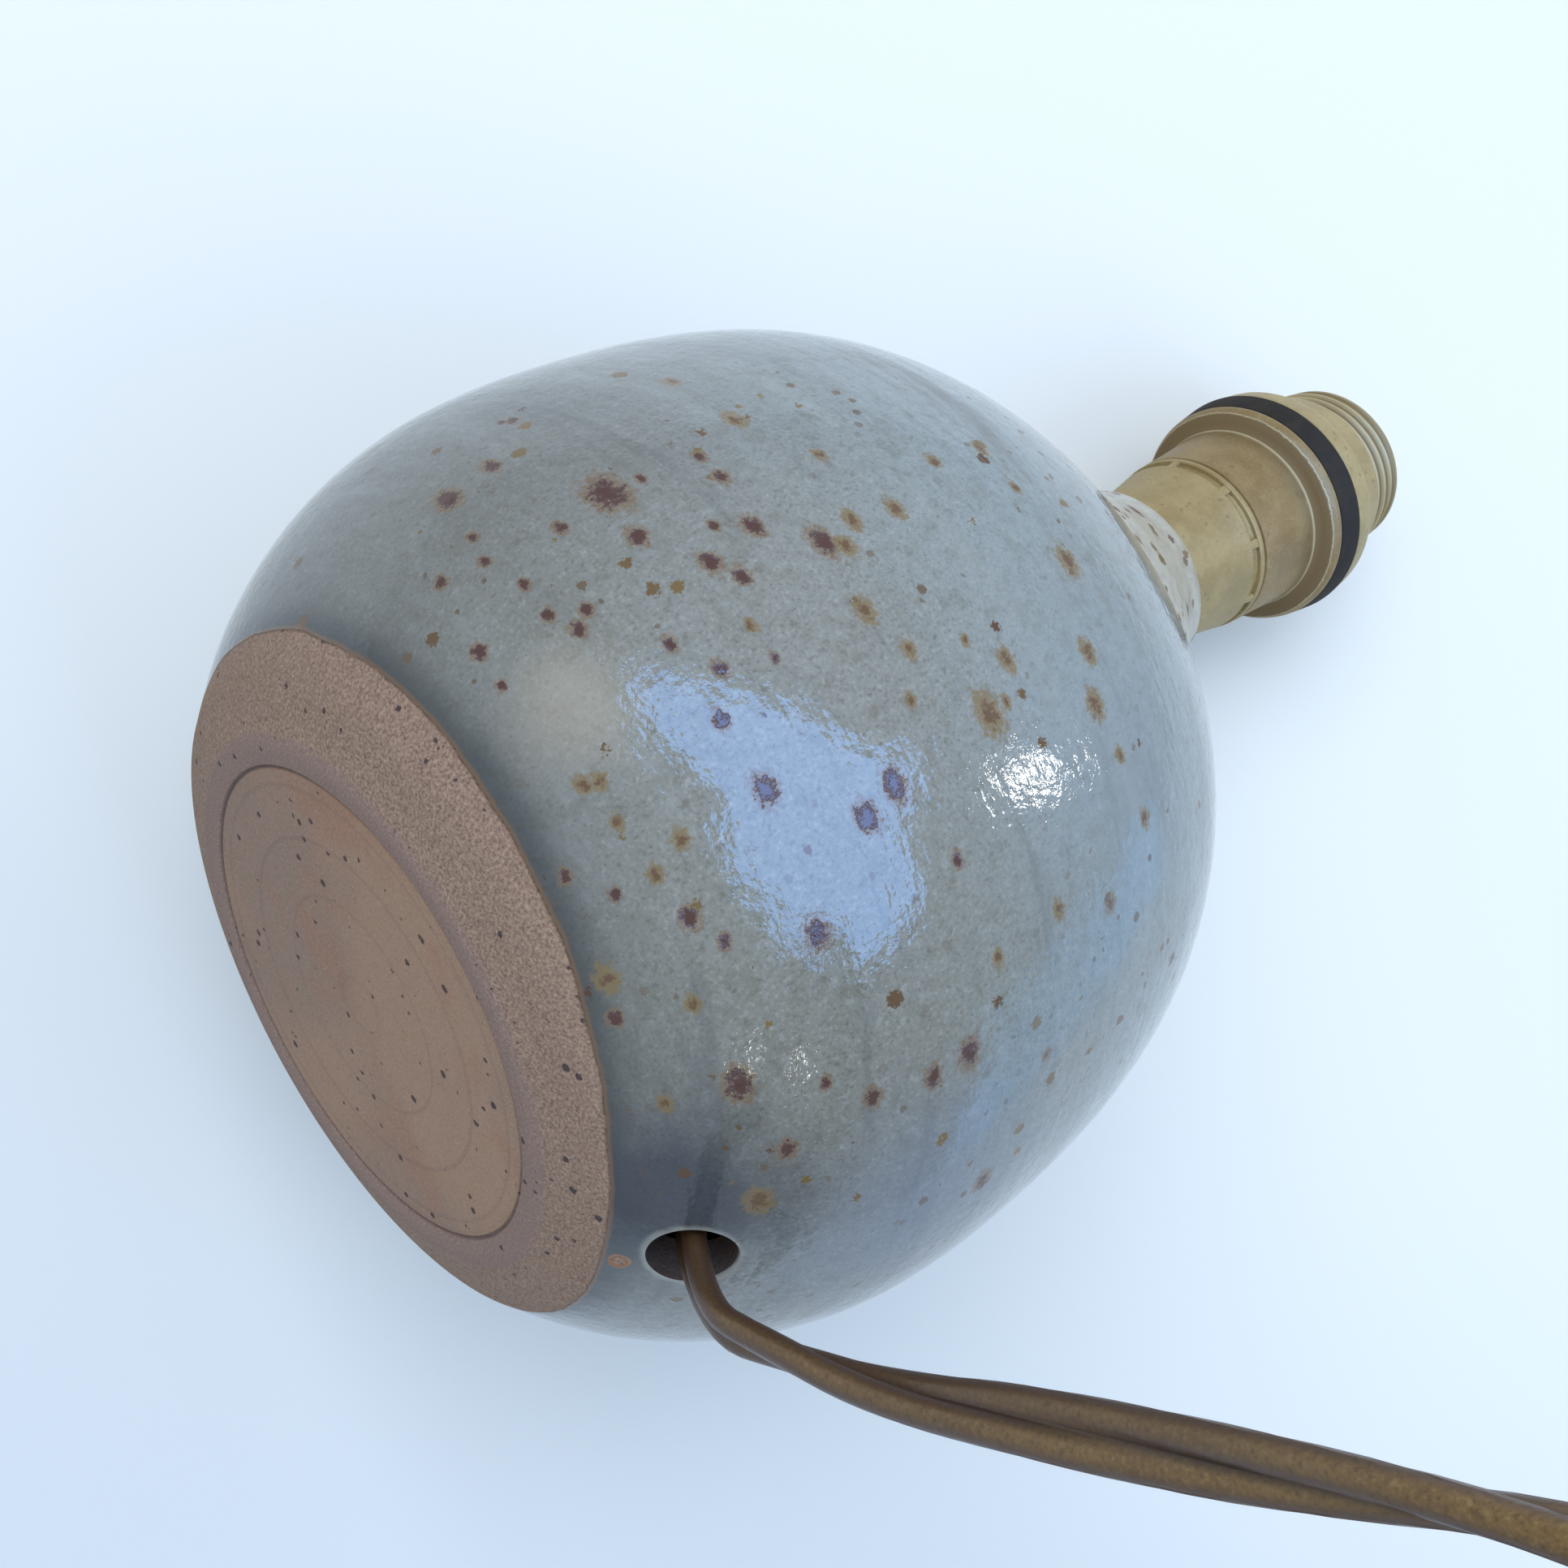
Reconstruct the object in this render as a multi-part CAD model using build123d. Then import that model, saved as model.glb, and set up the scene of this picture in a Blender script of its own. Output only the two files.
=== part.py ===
from build123d import *
import math
import os

# Stoneware ball lamp base: thrown body, small screw lampholder with shade ring,
# twin flex with an inline rocker switch and a two-pin plug.
# Lengths in mm, +Z up along the lamp's axis, origin at the centre of the foot.
# The cable hole is at the back, towards +Y.

os.makedirs("parts", exist_ok=True)

# Body, taken from the photograph with the 28 mm holder thread as the scale
body_r = 60.0
body_h = 140.2
wall = 4.35
floor_t = 6.5
foot_r = 32.7
bevel_r = 39.5
bevel_h = 2.45
foot_edge = 0.35
groove_r = 29.0
groove_w = 0.9
groove_depth = 0.6
disc_recess = 0.25
rim_round = 0.9
# Outer wall from the bevel to the shoulder and up the neck, as (radius, height) shares
body_shares = [
    (0.7725, 0.0626),
    (0.8660, 0.1150),
    (0.9360, 0.1732),
    (0.9798, 0.2352),
    (0.9980, 0.2985),
    (0.9992, 0.3608),
    (0.9923, 0.4219),
    (0.9757, 0.4827),
    (0.9442, 0.5432),
    (0.8932, 0.6021),
    (0.8202, 0.6572),
    (0.7273, 0.7074),
    (0.6175, 0.7515),
    (0.5500, 0.7722),
    (0.4940, 0.7888),
    (0.4480, 0.8074),
    (0.4110, 0.8410),
    (0.3750, 0.8770),
    (0.3375, 0.9123),
    (0.2990, 0.9415),
    (0.2650, 0.9693),
    (0.2520, 0.9850),
    (0.2458, 1.0000),
]

# Cable hole, square to the wall just above the foot
hole_r = 4.75
hole_h_share = 0.0628
hole_flare = 0.9
hole_reach = 14.0
exit_lean_deg = 24.0

# Lampholder for a 14 mm screw cap, heights above the neck's rim
cap_h = 17.35
cap_low_r = 12.85
cap_panel_r = 13.8
cap_top_r = 14.15
cap_straight_h = 8.6
cap_panel_h = 14.7
cap_groove_h = 1.5
cap_groove_depth = 0.5
cap_bore_r = 11.5
cap_floor = 2.6
rib_count = 9
rib_start_deg = 14.6
rib_w = 1.6
rib_rise = 0.35
rib_low_h = 9.2
seam_gap = 0.25

sleeve_base_r = 14.2
bell_r_shares = [(0.0, 1.0), (0.35, 1.011), (0.7, 1.028), (0.97, 1.043)]
bell_h = 11.75
bead_r = 15.05
bead_h = 0.55
flange_under_r = 17.35
flange_r = 18.15
flange_under_h = 0.7
flange_bevel_h = 1.5
flange_land_h = 0.3
thread_r = 14.0
thread_pitch = 2.0
sleeve_top_h = 57.1
sleeve_bore_r = 11.55
sleeve_lip_r = 9.4
sleeve_lip_t = 1.4
spigot_h = 6.5
spigot_r = 11.4
spigot_bore_r = 10.6

gasket_h = 4.2
gasket_low_r = 18.2
gasket_top_r = 18.75
ring_low_r = 18.65
ring_collar_r = 15.0
ring_h = 12.1
# Edge of the shade ring's flange and the hollow slope up to its collar, as (radius, height)
ring_edge = [
    (18.2, 3.6),
    (18.0, 4.15),
    (17.5, 4.4),
    (16.3, 4.65),
    (15.5, 5.2),
    (15.1, 6.0),
    (15.0, 7.2),
]
ring_clear = 0.09
stack_gap = 0.05

# Inner parts of the holder
core_low_r = 10.4
core_r = 11.4
core_bore_r = 7.45
core_mouth_r = 7.7
core_foot_h = 9.0
core_floor_h = 22.5
core_top_gap = 0.3
shell_t = 0.4
shell_wave = 0.45
shell_pitch = 2.82
shell_waves = 6
shell_foot_h = 26.0
contact_w = 4.0
contact_t = 0.5
contact_rise = 2.6
contact_len = 10.0
term_w = 5.0
term_d = 4.2
term_h = 7.0
term_x = 5.6
term_bore_r = 1.5
term_screw_r = 1.4
term_screw_head_r = 2.0
term_screw_head_h = 1.4
term_screw_len = 3.2

# Fixing: a 10 mm threaded tube, pulled down by a bar inside the shoulder
tube_r = 5.0
tube_bore_r = 3.5
tube_top_h = 7.4
tube_low = 27.5
bar_gap = 0.35
bar_w = 14.0
bar_t = 2.5
bar_drop = 18.2
nut_flats = 14.0
nut_h = 3.0
washer_r = 9.5
washer_t = 1.2
thread_clear = 0.05

# Twin flex
cord_d = 5.4
core_d = 2.7
inner_rise_share = 0.42
lead_points = [
    (11.4, 62.1),
    (20.3, 73.5),
    (33.3, 85.0),
    (49.0, 99.4),
    (69.5, 116.9),
]
lead_last = 14.0
coil_centre = (45.0, 164.0)
coil_angle_deg = -22.0
coil_first = 42.0
coil_step = 6.8
coil_layer = 6.0
coil_halves = 7
run_share = 0.45
tie_w = 6.0
tie_t = 0.7
tie_gap = 0.25
tie_from_start_deg = 90.0

# Inline switch, a two-part housing that lies on the table
switch_len = 60.0
switch_w = 24.0
switch_low_h = 8.2
switch_top_h = 7.6
switch_round = 5.0
switch_wall = 2.0
switch_entry_r = 2.75
switch_entry_h = 8.2
switch_edge = 1.2
rocker_len = 19.4
rocker_w = 8.6
rocker_gap = 0.3
rocker_rise = 1.6
rocker_end_h = 3.2
rocker_barrel_r = 2.6
rocker_tilt_deg = 9.0
rocker_pin_r = 1.0
rocker_pin_len = 14.0
pin_clear = 0.05
pivot_h = 12.6
switch_screw_r = 1.5
switch_screw_head_r = 2.7
switch_screw_head_h = 1.6
switch_screw_x = 21.0
switch_screw_len = 11.0
bridge_len = 15.0
bridge_w = 5.0
bridge_t = 0.6

# Two-pin plug
plug_w = 35.3
plug_t = 13.7
plug_len = 26.0
plug_neck_len = 12.0
plug_neck_w = 12.0
plug_neck_t = 9.0
plug_round = 3.0
plug_pin_r = 2.0
plug_root_r = 1.6
plug_pin_len = 19.0
plug_pin_sink = 6.0
plug_pin_pitch = 18.6
plug_tip = 0.8

# Route of the flex after the coil, in equal runs that turn steadily
mid_run = 10.0
mid_turn_deg = -2.0
tail_run = 19.0
tail_turn_deg = -38.0
tail_drop_share = 0.35

neck_z = body_h
cap_z = neck_z
sleeve_z = cap_z + cap_h + seam_gap
bead_z = sleeve_z + bell_h
under_z = bead_z + bead_h
flange_z = under_z + flange_under_h + flange_bevel_h + flange_land_h
gasket_z = flange_z + stack_gap
ring_z = gasket_z + gasket_h + stack_gap
sleeve_top_z = neck_z + sleeve_top_h


def export(shape, name):
    """Write one piece to its own file."""
    shape.label = name
    export_step(shape, os.path.join("parts", name + ".step"))


def lathe(points):
    """Turned solid from (radius, height) points joined by straight lines."""
    outline = [(r, 0, z) for r, z in points]
    face = make_face(Polyline(*outline, close=True))
    return revolve(face, Axis.Z, 360)


def ring(r_out, r_in, z_low, z_high):
    """Plain turned ring."""
    return lathe([(r_in, z_low), (r_out, z_low), (r_out, z_high), (r_in, z_high)])


def disc(r_out, z_low, z_high):
    """Plain turned disc."""
    return lathe([(0, z_low), (r_out, z_low), (r_out, z_high), (0, z_high)])


def outer_points():
    """Points of the outer wall above the bevel."""
    return [(bevel_r, bevel_h)] + [(r * body_r, z * body_h) for r, z in body_shares]


def inner_points():
    """Points of the inner wall, one wall thickness inside the outer ones."""
    pts = outer_points()
    inner = []
    for before, here, after in zip(pts[:-2], pts[1:-1], pts[2:]):
        run = after[0] - before[0]
        rise = after[1] - before[1]
        size = math.hypot(run, rise)
        inner.append((here[0] - rise / size * wall, here[1] + run / size * wall))
    inner = [p for p in inner if p[1] > floor_t + wall]
    return inner + [(pts[-1][0] - wall, body_h)]


def wall_at(height):
    """Radius of the outer wall and its outward slope at a height."""
    pts = outer_points()
    for low, high in zip(pts[:-1], pts[1:]):
        if low[1] <= height <= high[1]:
            share = (height - low[1]) / (high[1] - low[1])
            radius = low[0] + share * (high[0] - low[0])
            run = high[0] - low[0]
            rise = high[1] - low[1]
            size = math.hypot(run, rise)
            return radius, rise / size, -run / size
    return body_r, 1.0, 0.0


def spline_edge(points):
    """Smooth edge through (radius, height) points in the XZ plane."""
    return Spline(*[(r, 0, z) for r, z in points])


hole_z = hole_h_share * body_h
hole_wall_r, hole_out, hole_up = wall_at(hole_z)
hole_centre = Vector(0, hole_wall_r, hole_z)
hole_dir = Vector(0, hole_out, hole_up)


def ceramic_body():
    """Thrown and turned body with its foot, neck and cable hole."""
    outer = outer_points()
    outer_edge = spline_edge(outer)
    foot = [
        outer[0],
        (foot_r, foot_edge),
        (foot_r - foot_edge, 0),
        (groove_r + groove_w / 2, 0),
        (groove_r + groove_w / 2, groove_depth),
        (groove_r - groove_w / 2, groove_depth),
        (groove_r - groove_w / 2, disc_recess),
        (0, disc_recess),
        (0, body_h),
        outer[-1],
    ]
    lines = Polyline(*[(r, 0, z) for r, z in foot])
    solid = revolve(make_face([*outer_edge.edges(), *lines.edges()]), Axis.Z, 360)
    inner = inner_points()
    inner_edge = spline_edge(inner)
    low = inner[0]
    lid = [
        inner[-1],
        (inner[-1][0], body_h + wall),
        (0, body_h + wall),
        (0, floor_t),
        (low[0] - wall, floor_t),
        low,
    ]
    lid_lines = Polyline(*[(r, 0, z) for r, z in lid])
    hollow = revolve(make_face([*inner_edge.edges(), *lid_lines.edges()]), Axis.Z, 360)
    solid = solid - hollow
    rims = solid.edges().filter_by(GeomType.CIRCLE).filter_by_position(Axis.Z, body_h - stack_gap, body_h + stack_gap)
    solid = fillet(rims, rim_round)
    plane = Plane(origin=hole_centre, z_dir=hole_dir)
    drill = plane * Cylinder(hole_r, 2 * hole_reach)
    flare = plane * Cone(hole_r, hole_r + 2 * hole_flare, 2 * hole_flare)
    return solid - drill - flare


def lower_cap():
    """Lower cap with a collar, a sunk band and small ribs, on the neck's rim."""
    top = cap_z + cap_h
    panel = cap_z + cap_panel_h
    collar = panel + cap_groove_h
    outline = [
        (tube_r + thread_clear, cap_z),
        (cap_low_r, cap_z),
        (cap_low_r, cap_z + cap_straight_h),
        (cap_panel_r, panel),
        (cap_panel_r - cap_groove_depth, panel),
        (cap_panel_r - cap_groove_depth, collar),
        (cap_top_r, collar),
        (cap_top_r, top),
        (cap_bore_r, top),
        (cap_bore_r, cap_z + cap_floor),
        (tube_r + thread_clear, cap_z + cap_floor),
    ]
    solid = lathe(outline)
    low = cap_z + rib_low_h
    ribs = lathe([
        (cap_low_r, low),
        (cap_panel_r + rib_rise, panel),
        (cap_top_r, collar),
        (cap_low_r, collar),
    ])
    bar = Pos(cap_top_r, 0, (low + collar) / 2) * Box(2 * cap_top_r, rib_w, 2 * (collar - low))
    spots = PolarLocations(0, rib_count, start_angle=rib_start_deg).locations
    return solid + [ribs & (spot * bar) for spot in spots]


def outer_sleeve():
    """Bell, flange and threaded barrel, with the spigot that enters the cap."""
    bell = [(sleeve_base_r * r, sleeve_z + share * bell_h) for share, r in bell_r_shares]
    outline = [
        (spigot_bore_r, sleeve_z - spigot_h),
        (spigot_r, sleeve_z - spigot_h),
        (spigot_r, sleeve_z),
        *bell,
        (bead_r, bead_z),
        (bead_r, under_z),
        (flange_under_r, under_z + flange_under_h),
        (flange_r, under_z + flange_under_h + flange_bevel_h),
        (flange_r, flange_z),
        (thread_r, flange_z),
        (thread_r, sleeve_top_z - rim_round),
        (thread_r - rim_round / 2, sleeve_top_z),
        (sleeve_lip_r, sleeve_top_z),
        (sleeve_lip_r, sleeve_top_z - sleeve_lip_t),
        (sleeve_bore_r, sleeve_top_z - sleeve_lip_t),
        (sleeve_bore_r, sleeve_z),
        (spigot_bore_r, sleeve_z - stack_gap),
    ]
    return lathe(outline)


def black_gasket():
    """Black ring between the flange and the shade ring."""
    top = gasket_z + gasket_h
    inner = thread_r + ring_clear
    return lathe([(inner, gasket_z), (gasket_low_r, gasket_z), (gasket_top_r, top), (inner, top)])


def shade_ring():
    """Ring with a smooth collar that screws down the barrel onto a shade."""
    inner = thread_r + ring_clear
    outline = [
        (inner, ring_z),
        (ring_low_r - foot_edge, ring_z),
        (ring_low_r, ring_z + foot_edge),
        *[(r, ring_z + h) for r, h in ring_edge],
        (ring_collar_r, ring_z + ring_h - foot_edge),
        (ring_collar_r - foot_edge, ring_z + ring_h),
        (inner, ring_z + ring_h),
    ]
    return lathe(outline)


def socket_core():
    """Insulating insert that carries the contacts."""
    base = neck_z
    top = sleeve_top_z - sleeve_lip_t - core_top_gap
    shell_top = base + shell_foot_h + shell_waves * shell_pitch + stack_gap
    outline = [
        (0, base + core_foot_h),
        (core_low_r - thread_clear, base + core_foot_h),
        (core_low_r - thread_clear, sleeve_z + stack_gap),
        (core_r, sleeve_z + stack_gap),
        (core_r, top),
        (core_mouth_r, top),
        (core_mouth_r, shell_top),
        (core_bore_r, shell_top),
        (core_bore_r, base + core_floor_h),
        (0, base + core_floor_h),
    ]
    solid = lathe(outline)
    pocket = Box(term_w + 2 * stack_gap, term_d + 2 * stack_gap, 2 * term_h + 2 * stack_gap)
    for side in (-1, 1):
        solid = solid - Pos(side * term_x, 0, base + core_foot_h) * pocket
        access = Pos(side * core_low_r, 0, base + core_foot_h + term_h / 2) * Rot(0, 90, 0)
        solid = solid - access * Cylinder(term_screw_head_r + stack_gap, core_low_r)
    return solid


def screw_shell():
    """Brass shell with its rolled screw form, for a 14 mm lamp cap."""
    foot = neck_z + shell_foot_h
    outside = []
    r_out = core_bore_r - stack_gap
    for k in range(shell_waves):
        low = foot + k * shell_pitch
        outside.append((r_out, low))
        outside.append((r_out - shell_wave, low + shell_pitch / 2))
    outside.append((r_out, foot + shell_waves * shell_pitch))
    inside = [(r - shell_t, z) for r, z in reversed(outside)]
    return lathe(outside + inside)


def centre_contact():
    """Sprung tongue at the bottom of the socket."""
    low = neck_z + core_floor_h
    path = [
        (-contact_len / 2, 0, low),
        (contact_len / 2, 0, low),
        (contact_len / 2, 0, low + contact_t),
        (-contact_len / 4, 0, low + contact_t),
        (contact_len / 8, 0, low + contact_rise + contact_t),
        (0, 0, low + contact_rise + contact_t),
        (-contact_len / 2, 0, low + contact_t),
    ]
    face = make_face(Polyline(*path, close=True))
    return Pos(0, contact_w / 2, 0) * extrude(face, contact_w, dir=(0, -1, 0))


def terminal(side):
    """Brass terminal block with its wire hole and screw hole."""
    z_mid = neck_z + core_foot_h + term_h / 2
    block = Pos(side * term_x, 0, z_mid) * Box(term_w, term_d, term_h)
    wire = Pos(side * term_x, 0, neck_z + core_foot_h + term_h / 4) * Cylinder(term_bore_r, term_h / 2 + stack_gap)
    shaft = Pos(side * (term_x + term_w / 2), 0, z_mid) * Rot(0, 90, 0) * Cylinder(term_screw_r, term_w)
    return block - wire - shaft


def terminal_screw(side):
    """Slotted screw of a terminal."""
    z_mid = neck_z + core_foot_h + term_h / 2
    head_x = term_x + term_w / 2 + term_screw_head_h / 2
    head = Cylinder(term_screw_head_r, term_screw_head_h)
    slot = Pos(0, 0, side * term_screw_head_h / 2) * Box(2 * term_screw_head_r, contact_t, term_screw_head_h)
    shaft_x = term_x + term_w / 2 - term_screw_len / 4
    shaft = Cylinder(term_screw_r - stack_gap, term_screw_len / 2)
    screw = Pos(side * head_x, 0, z_mid) * Rot(0, 90, 0) * (head - slot)
    return screw + Pos(side * shaft_x, 0, z_mid) * Rot(0, 90, 0) * shaft


def threaded_tube():
    """Tube that the flex runs through and the cap is held by."""
    return ring(tube_r, tube_bore_r, neck_z - tube_low, neck_z + tube_top_h)


def hex_nut(z_low):
    """Hexagon nut on the threaded tube."""
    blank = Pos(0, 0, z_low) * extrude(RegularPolygon(nut_flats / 2, 6, major_radius=False), nut_h)
    hole = Pos(0, 0, z_low + nut_h / 2) * Cylinder(tube_r + thread_clear, 2 * nut_h)
    return blank - hole


def cavity_at(height):
    """Radius of the cavity at a height."""
    pts = inner_points()
    for low, high in zip(pts[:-1], pts[1:]):
        if low[1] <= height <= high[1]:
            share = (height - low[1]) / (high[1] - low[1])
            return low[0] + share * (high[0] - low[0])
    return pts[-1][0]


def toggle_bar():
    """Bar that bears on the inside of the shoulder, below the neck."""
    top = neck_z - bar_drop
    bar_len = 2 * (cavity_at(top) - bar_gap)
    bar = Pos(0, 0, top - bar_t / 2) * (Box(bar_len, bar_w, bar_t) & Cylinder(bar_len / 2, bar_t))
    return bar - Pos(0, 0, top) * Cylinder(tube_r + thread_clear, 2 * bar_t)


def rounded_path(points, share=run_share):
    """Straight runs joined by arcs as large as the shorter run allows."""
    radii = []
    for a, b, c in zip(points[:-2], points[1:-1], points[2:]):
        turn = math.radians((b - a).get_angle(c - b))
        short = min((b - a).length, (c - b).length)
        radii.append(share * short / math.tan(turn / 2))
    return FilletPolyline(*points, radius=radii), radii


def swept_tube(name, path, diameter):
    """Round tube along a path, with its volume compared with the expected one."""
    start = path @ 0
    along = path % 0
    section = Plane(origin=start, z_dir=along) * Circle(diameter / 2)
    tube = sweep(section, path=path)
    expected = math.pi * diameter ** 2 / 4 * path.length
    print(name, "length", round(path.length, 1), "volume share", round(tube.volume / expected, 4))
    return tube


def exit_direction():
    """Direction in which the flex leaves the hole, leaning to +X."""
    lean = math.radians(exit_lean_deg)
    return Vector(math.sin(lean), hole_dir.Y * math.cos(lean), hole_dir.Z * math.cos(lean))


def mouth_point():
    """Where the flex crosses the mouth of the hole, through the middle of the wall."""
    leave = exit_direction()
    middle = hole_centre - hole_dir * (wall / 2)
    return middle + leave * (wall / 2 / math.cos(math.radians(exit_lean_deg)))


def lead_path():
    """Free flex from the hole to the coil, on the table."""
    leave = exit_direction()
    mouth = mouth_point()
    drop = (mouth.Z - cord_d / 2) / -leave.Z
    points = [mouth, mouth + leave * drop]
    points += [Vector(x, y, cord_d / 2) for x, y in lead_points]
    along, travel = coil_dirs()
    points += [coil_start() - travel * lead_last, coil_start()]
    return rounded_path(points)


def coil_level():
    """Height of the lower layer's centre line, above the tie's strap."""
    return cord_d / 2 + tie_t + tie_gap


def coil_dirs():
    """Direction of the coil's dividing line and the direction of travel at its start."""
    angle = math.radians(coil_angle_deg)
    along = Vector(math.cos(angle), math.sin(angle), 0)
    return along, Vector(-math.sin(angle), math.cos(angle), 0)


def coil_start():
    """Start of the coil's first straight end."""
    along, travel = coil_dirs()
    centre = Vector(coil_centre[0], coil_centre[1], coil_level())
    return centre + along * coil_first - travel * cord_d


def coil_end():
    """End of the coil's last straight end."""
    along, travel = coil_dirs()
    centre = Vector(coil_centre[0], coil_centre[1], coil_level() + coil_layer)
    return centre - along * coil_first - travel * cord_d


def coil_stations():
    """Places where the coil crosses its dividing line, with heights."""
    half = coil_step / 2
    stations = []
    for k in range(coil_halves + 1):
        side = 1 if k % 2 == 0 else -1
        stations.append((side * (coil_first - k * half), 0))
    inner = abs(stations[-1][0])
    side = -1 if stations[-1][0] > 0 else 1
    for k in range(coil_halves + 1):
        stations.append((side * (inner + k * half), coil_layer))
        side = -side
    return stations


def coil_wire():
    """Half turns that spiral in, climb one layer and spiral out again."""
    along, travel = coil_dirs()
    centre = Vector(coil_centre[0], coil_centre[1], coil_level())
    up = Vector(0, 0, 1)
    stations = coil_stations()
    edges = [Line(coil_start(), centre + along * stations[0][0])]
    points = []
    steps = 24
    for k, ((s0, z0), (s1, z1)) in enumerate(zip(stations[:-1], stations[1:])):
        a = centre + along * s0 + up * z0
        b = centre + along * s1 + up * z1
        side = 1 if k % 2 == 0 else -1
        radius = abs(s1 - s0) / 2
        middle = (a + b) / 2
        if z0 == z1:
            edges.append(ThreePointArc(a, middle + travel * side * radius, b))
        else:
            quarter = middle + travel * side * radius
            edges.extend(climb_edges(a, quarter, b, travel * side, along * (-side)))
        for i in range(steps):
            turn = math.pi * i / steps
            flat = (a + b) / 2 + along * (s0 - s1) / 2 * math.cos(turn)
            lift = up * ((z1 - z0) * (i / steps - 1 / 2))
            points.append(flat + travel * side * radius * math.sin(turn) + lift)
    edges.append(Line(centre + along * stations[-1][0] + up * coil_layer, coil_end()))
    return edges, points


def climb_edges(a, quarter, b, travel, across):
    """Two quarter turns that rise from one layer to the next, level at both ends."""
    tangent = (across + (b - a) * 0 + Vector(0, 0, (b.Z - a.Z) / (a - quarter).length)).normalized()
    first = biarc(a, travel, quarter, tangent)
    second = biarc(quarter, tangent, b, travel * -1)
    return first + second


def biarc(p0, t0, p1, t1):
    """Two arcs that join two points with given directions."""
    chord = p1 - p0
    both = t0 + t1
    k = 2 * (1 - t0.dot(t1))
    mix = chord.dot(both)
    reach = (-mix + math.sqrt(mix ** 2 + k * chord.dot(chord))) / k
    joint = (p0 + p1 + (t0 - t1) * reach) / 2
    middle = (p1 - p0 - (t0 + t1) * reach)
    edges = [tangent_arc(p0, t0, joint)]
    edges.append(tangent_arc(joint, middle, p1))
    return edges


def tangent_arc(start, direction, end):
    """Arc from a point and a direction to an end point."""
    return TangentArc(start, end, tangent=direction)


def least_gap(points):
    """Least gap of the coil's tube to itself."""
    reach = 12
    least = None
    for i, p in enumerate(points):
        for q in points[i + reach:]:
            gap = (p - q).length - cord_d
            if least is None or gap < least:
                least = gap
    return least


def coil_tie():
    """Flat strap once round all the loops at one place."""
    quarter = coil_step / 4
    least = coil_first - (2 * coil_halves - 1) * quarter - cord_d / 2
    inner = math.sqrt(least ** 2 - (tie_w / 2 + quarter) ** 2) - tie_gap
    outer = coil_first - quarter + cord_d / 2 + tie_gap
    high = cord_d + coil_layer + 2 * tie_gap
    mid = (inner + outer) / 2
    span = outer - inner
    room = Pos(mid, 0, tie_t + high / 2) * Box(span, 2 * tie_w, high)
    outside = Pos(mid, 0, tie_t + high / 2) * Box(span + 2 * tie_t, tie_w, high + 2 * tie_t)
    outside = fillet(outside.edges().filter_by(Axis.Y), tie_t)
    place = Pos(coil_centre[0], coil_centre[1], 0) * Rot(0, 0, coil_angle_deg + tie_from_start_deg)
    return place * (outside - room)


def inner_cord():
    """Flex inside the body, from the cable hole up into the threaded tube."""
    leave = exit_direction()
    inside = mouth_point() - leave * hole_reach
    rise = inner_rise_share * body_h
    points = [
        mouth_point(),
        inside,
        Vector(inside.X / 3, inside.Y / 3, rise),
        Vector(0, 0, body_h - tube_low),
        Vector(0, 0, neck_z + tube_top_h),
    ]
    low = points[2]
    points[3] = Vector(0, 0, (low.Z + body_h - tube_low) / 2)
    return rounded_path(points)


def walked(start, heading, turn, run, levels):
    """Route of equal runs, one for each level, turning by the same angle at each point."""
    points = [start]
    for level in levels:
        angle = math.radians(heading)
        here = points[-1]
        points.append(Vector(here.X + run * math.cos(angle), here.Y + run * math.sin(angle), level))
        heading += turn
    return points, heading - turn


def mid_points():
    """Points of the flex from the coil to the switch, and its last heading."""
    start = coil_end()
    levels = [start.Z, switch_entry_h, switch_entry_h]
    return walked(start, coil_angle_deg - 90, mid_turn_deg, mid_run, levels)


def tail_points():
    """Points of the flex from the switch to the plug, and its last heading."""
    port, out = switch_port(1)
    table = cord_d / 2
    drop = switch_entry_h - tail_drop_share * (switch_entry_h - table)
    levels = [switch_entry_h, drop, table, table, plug_t / 2, plug_t / 2]
    return walked(port, switch_heading, tail_turn_deg, tail_run, levels)


def switch_place():
    """Frame of the inline switch on the table."""
    return Pos(switch_centre.X, switch_centre.Y, 0) * Rot(0, 0, switch_heading)


def switch_half(z_low, height, floor_low):
    """One half of the housing, open to the other."""
    outline = RectangleRounded(switch_len, switch_w, switch_round)
    solid = Pos(0, 0, z_low) * extrude(outline, height)
    face = solid.faces().sort_by(Axis.Z)[0 if floor_low else -1]
    solid = fillet(face.edges(), switch_edge)
    room = RectangleRounded(switch_len - 2 * switch_wall, switch_w - 2 * switch_wall, switch_round - switch_wall)
    start = z_low + switch_wall if floor_low else z_low
    solid = solid - Pos(0, 0, start) * extrude(room, height - switch_wall)
    entry = Pos(0, 0, switch_entry_h) * Rot(0, 90, 0) * Cylinder(switch_entry_r, 2 * switch_len)
    return solid - entry


def switch_base():
    """Lower half of the switch with its screw posts."""
    solid = switch_half(0, switch_low_h, True)
    for side in (-1, 1):
        spot = Pos(side * switch_screw_x, 0, 0)
        post = spot * Pos(0, switch_w / 3, switch_low_h / 2) * Cylinder(2 * switch_screw_r, switch_low_h)
        solid = solid + post
        bore = spot * Pos(0, switch_w / 3, switch_low_h / 2) * Cylinder(switch_screw_r, 2 * switch_low_h)
        head = spot * Pos(0, switch_w / 3, switch_screw_head_h / 2) * Cylinder(switch_screw_head_r, switch_screw_head_h)
        solid = solid - bore - head
    return switch_place() * solid


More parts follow.
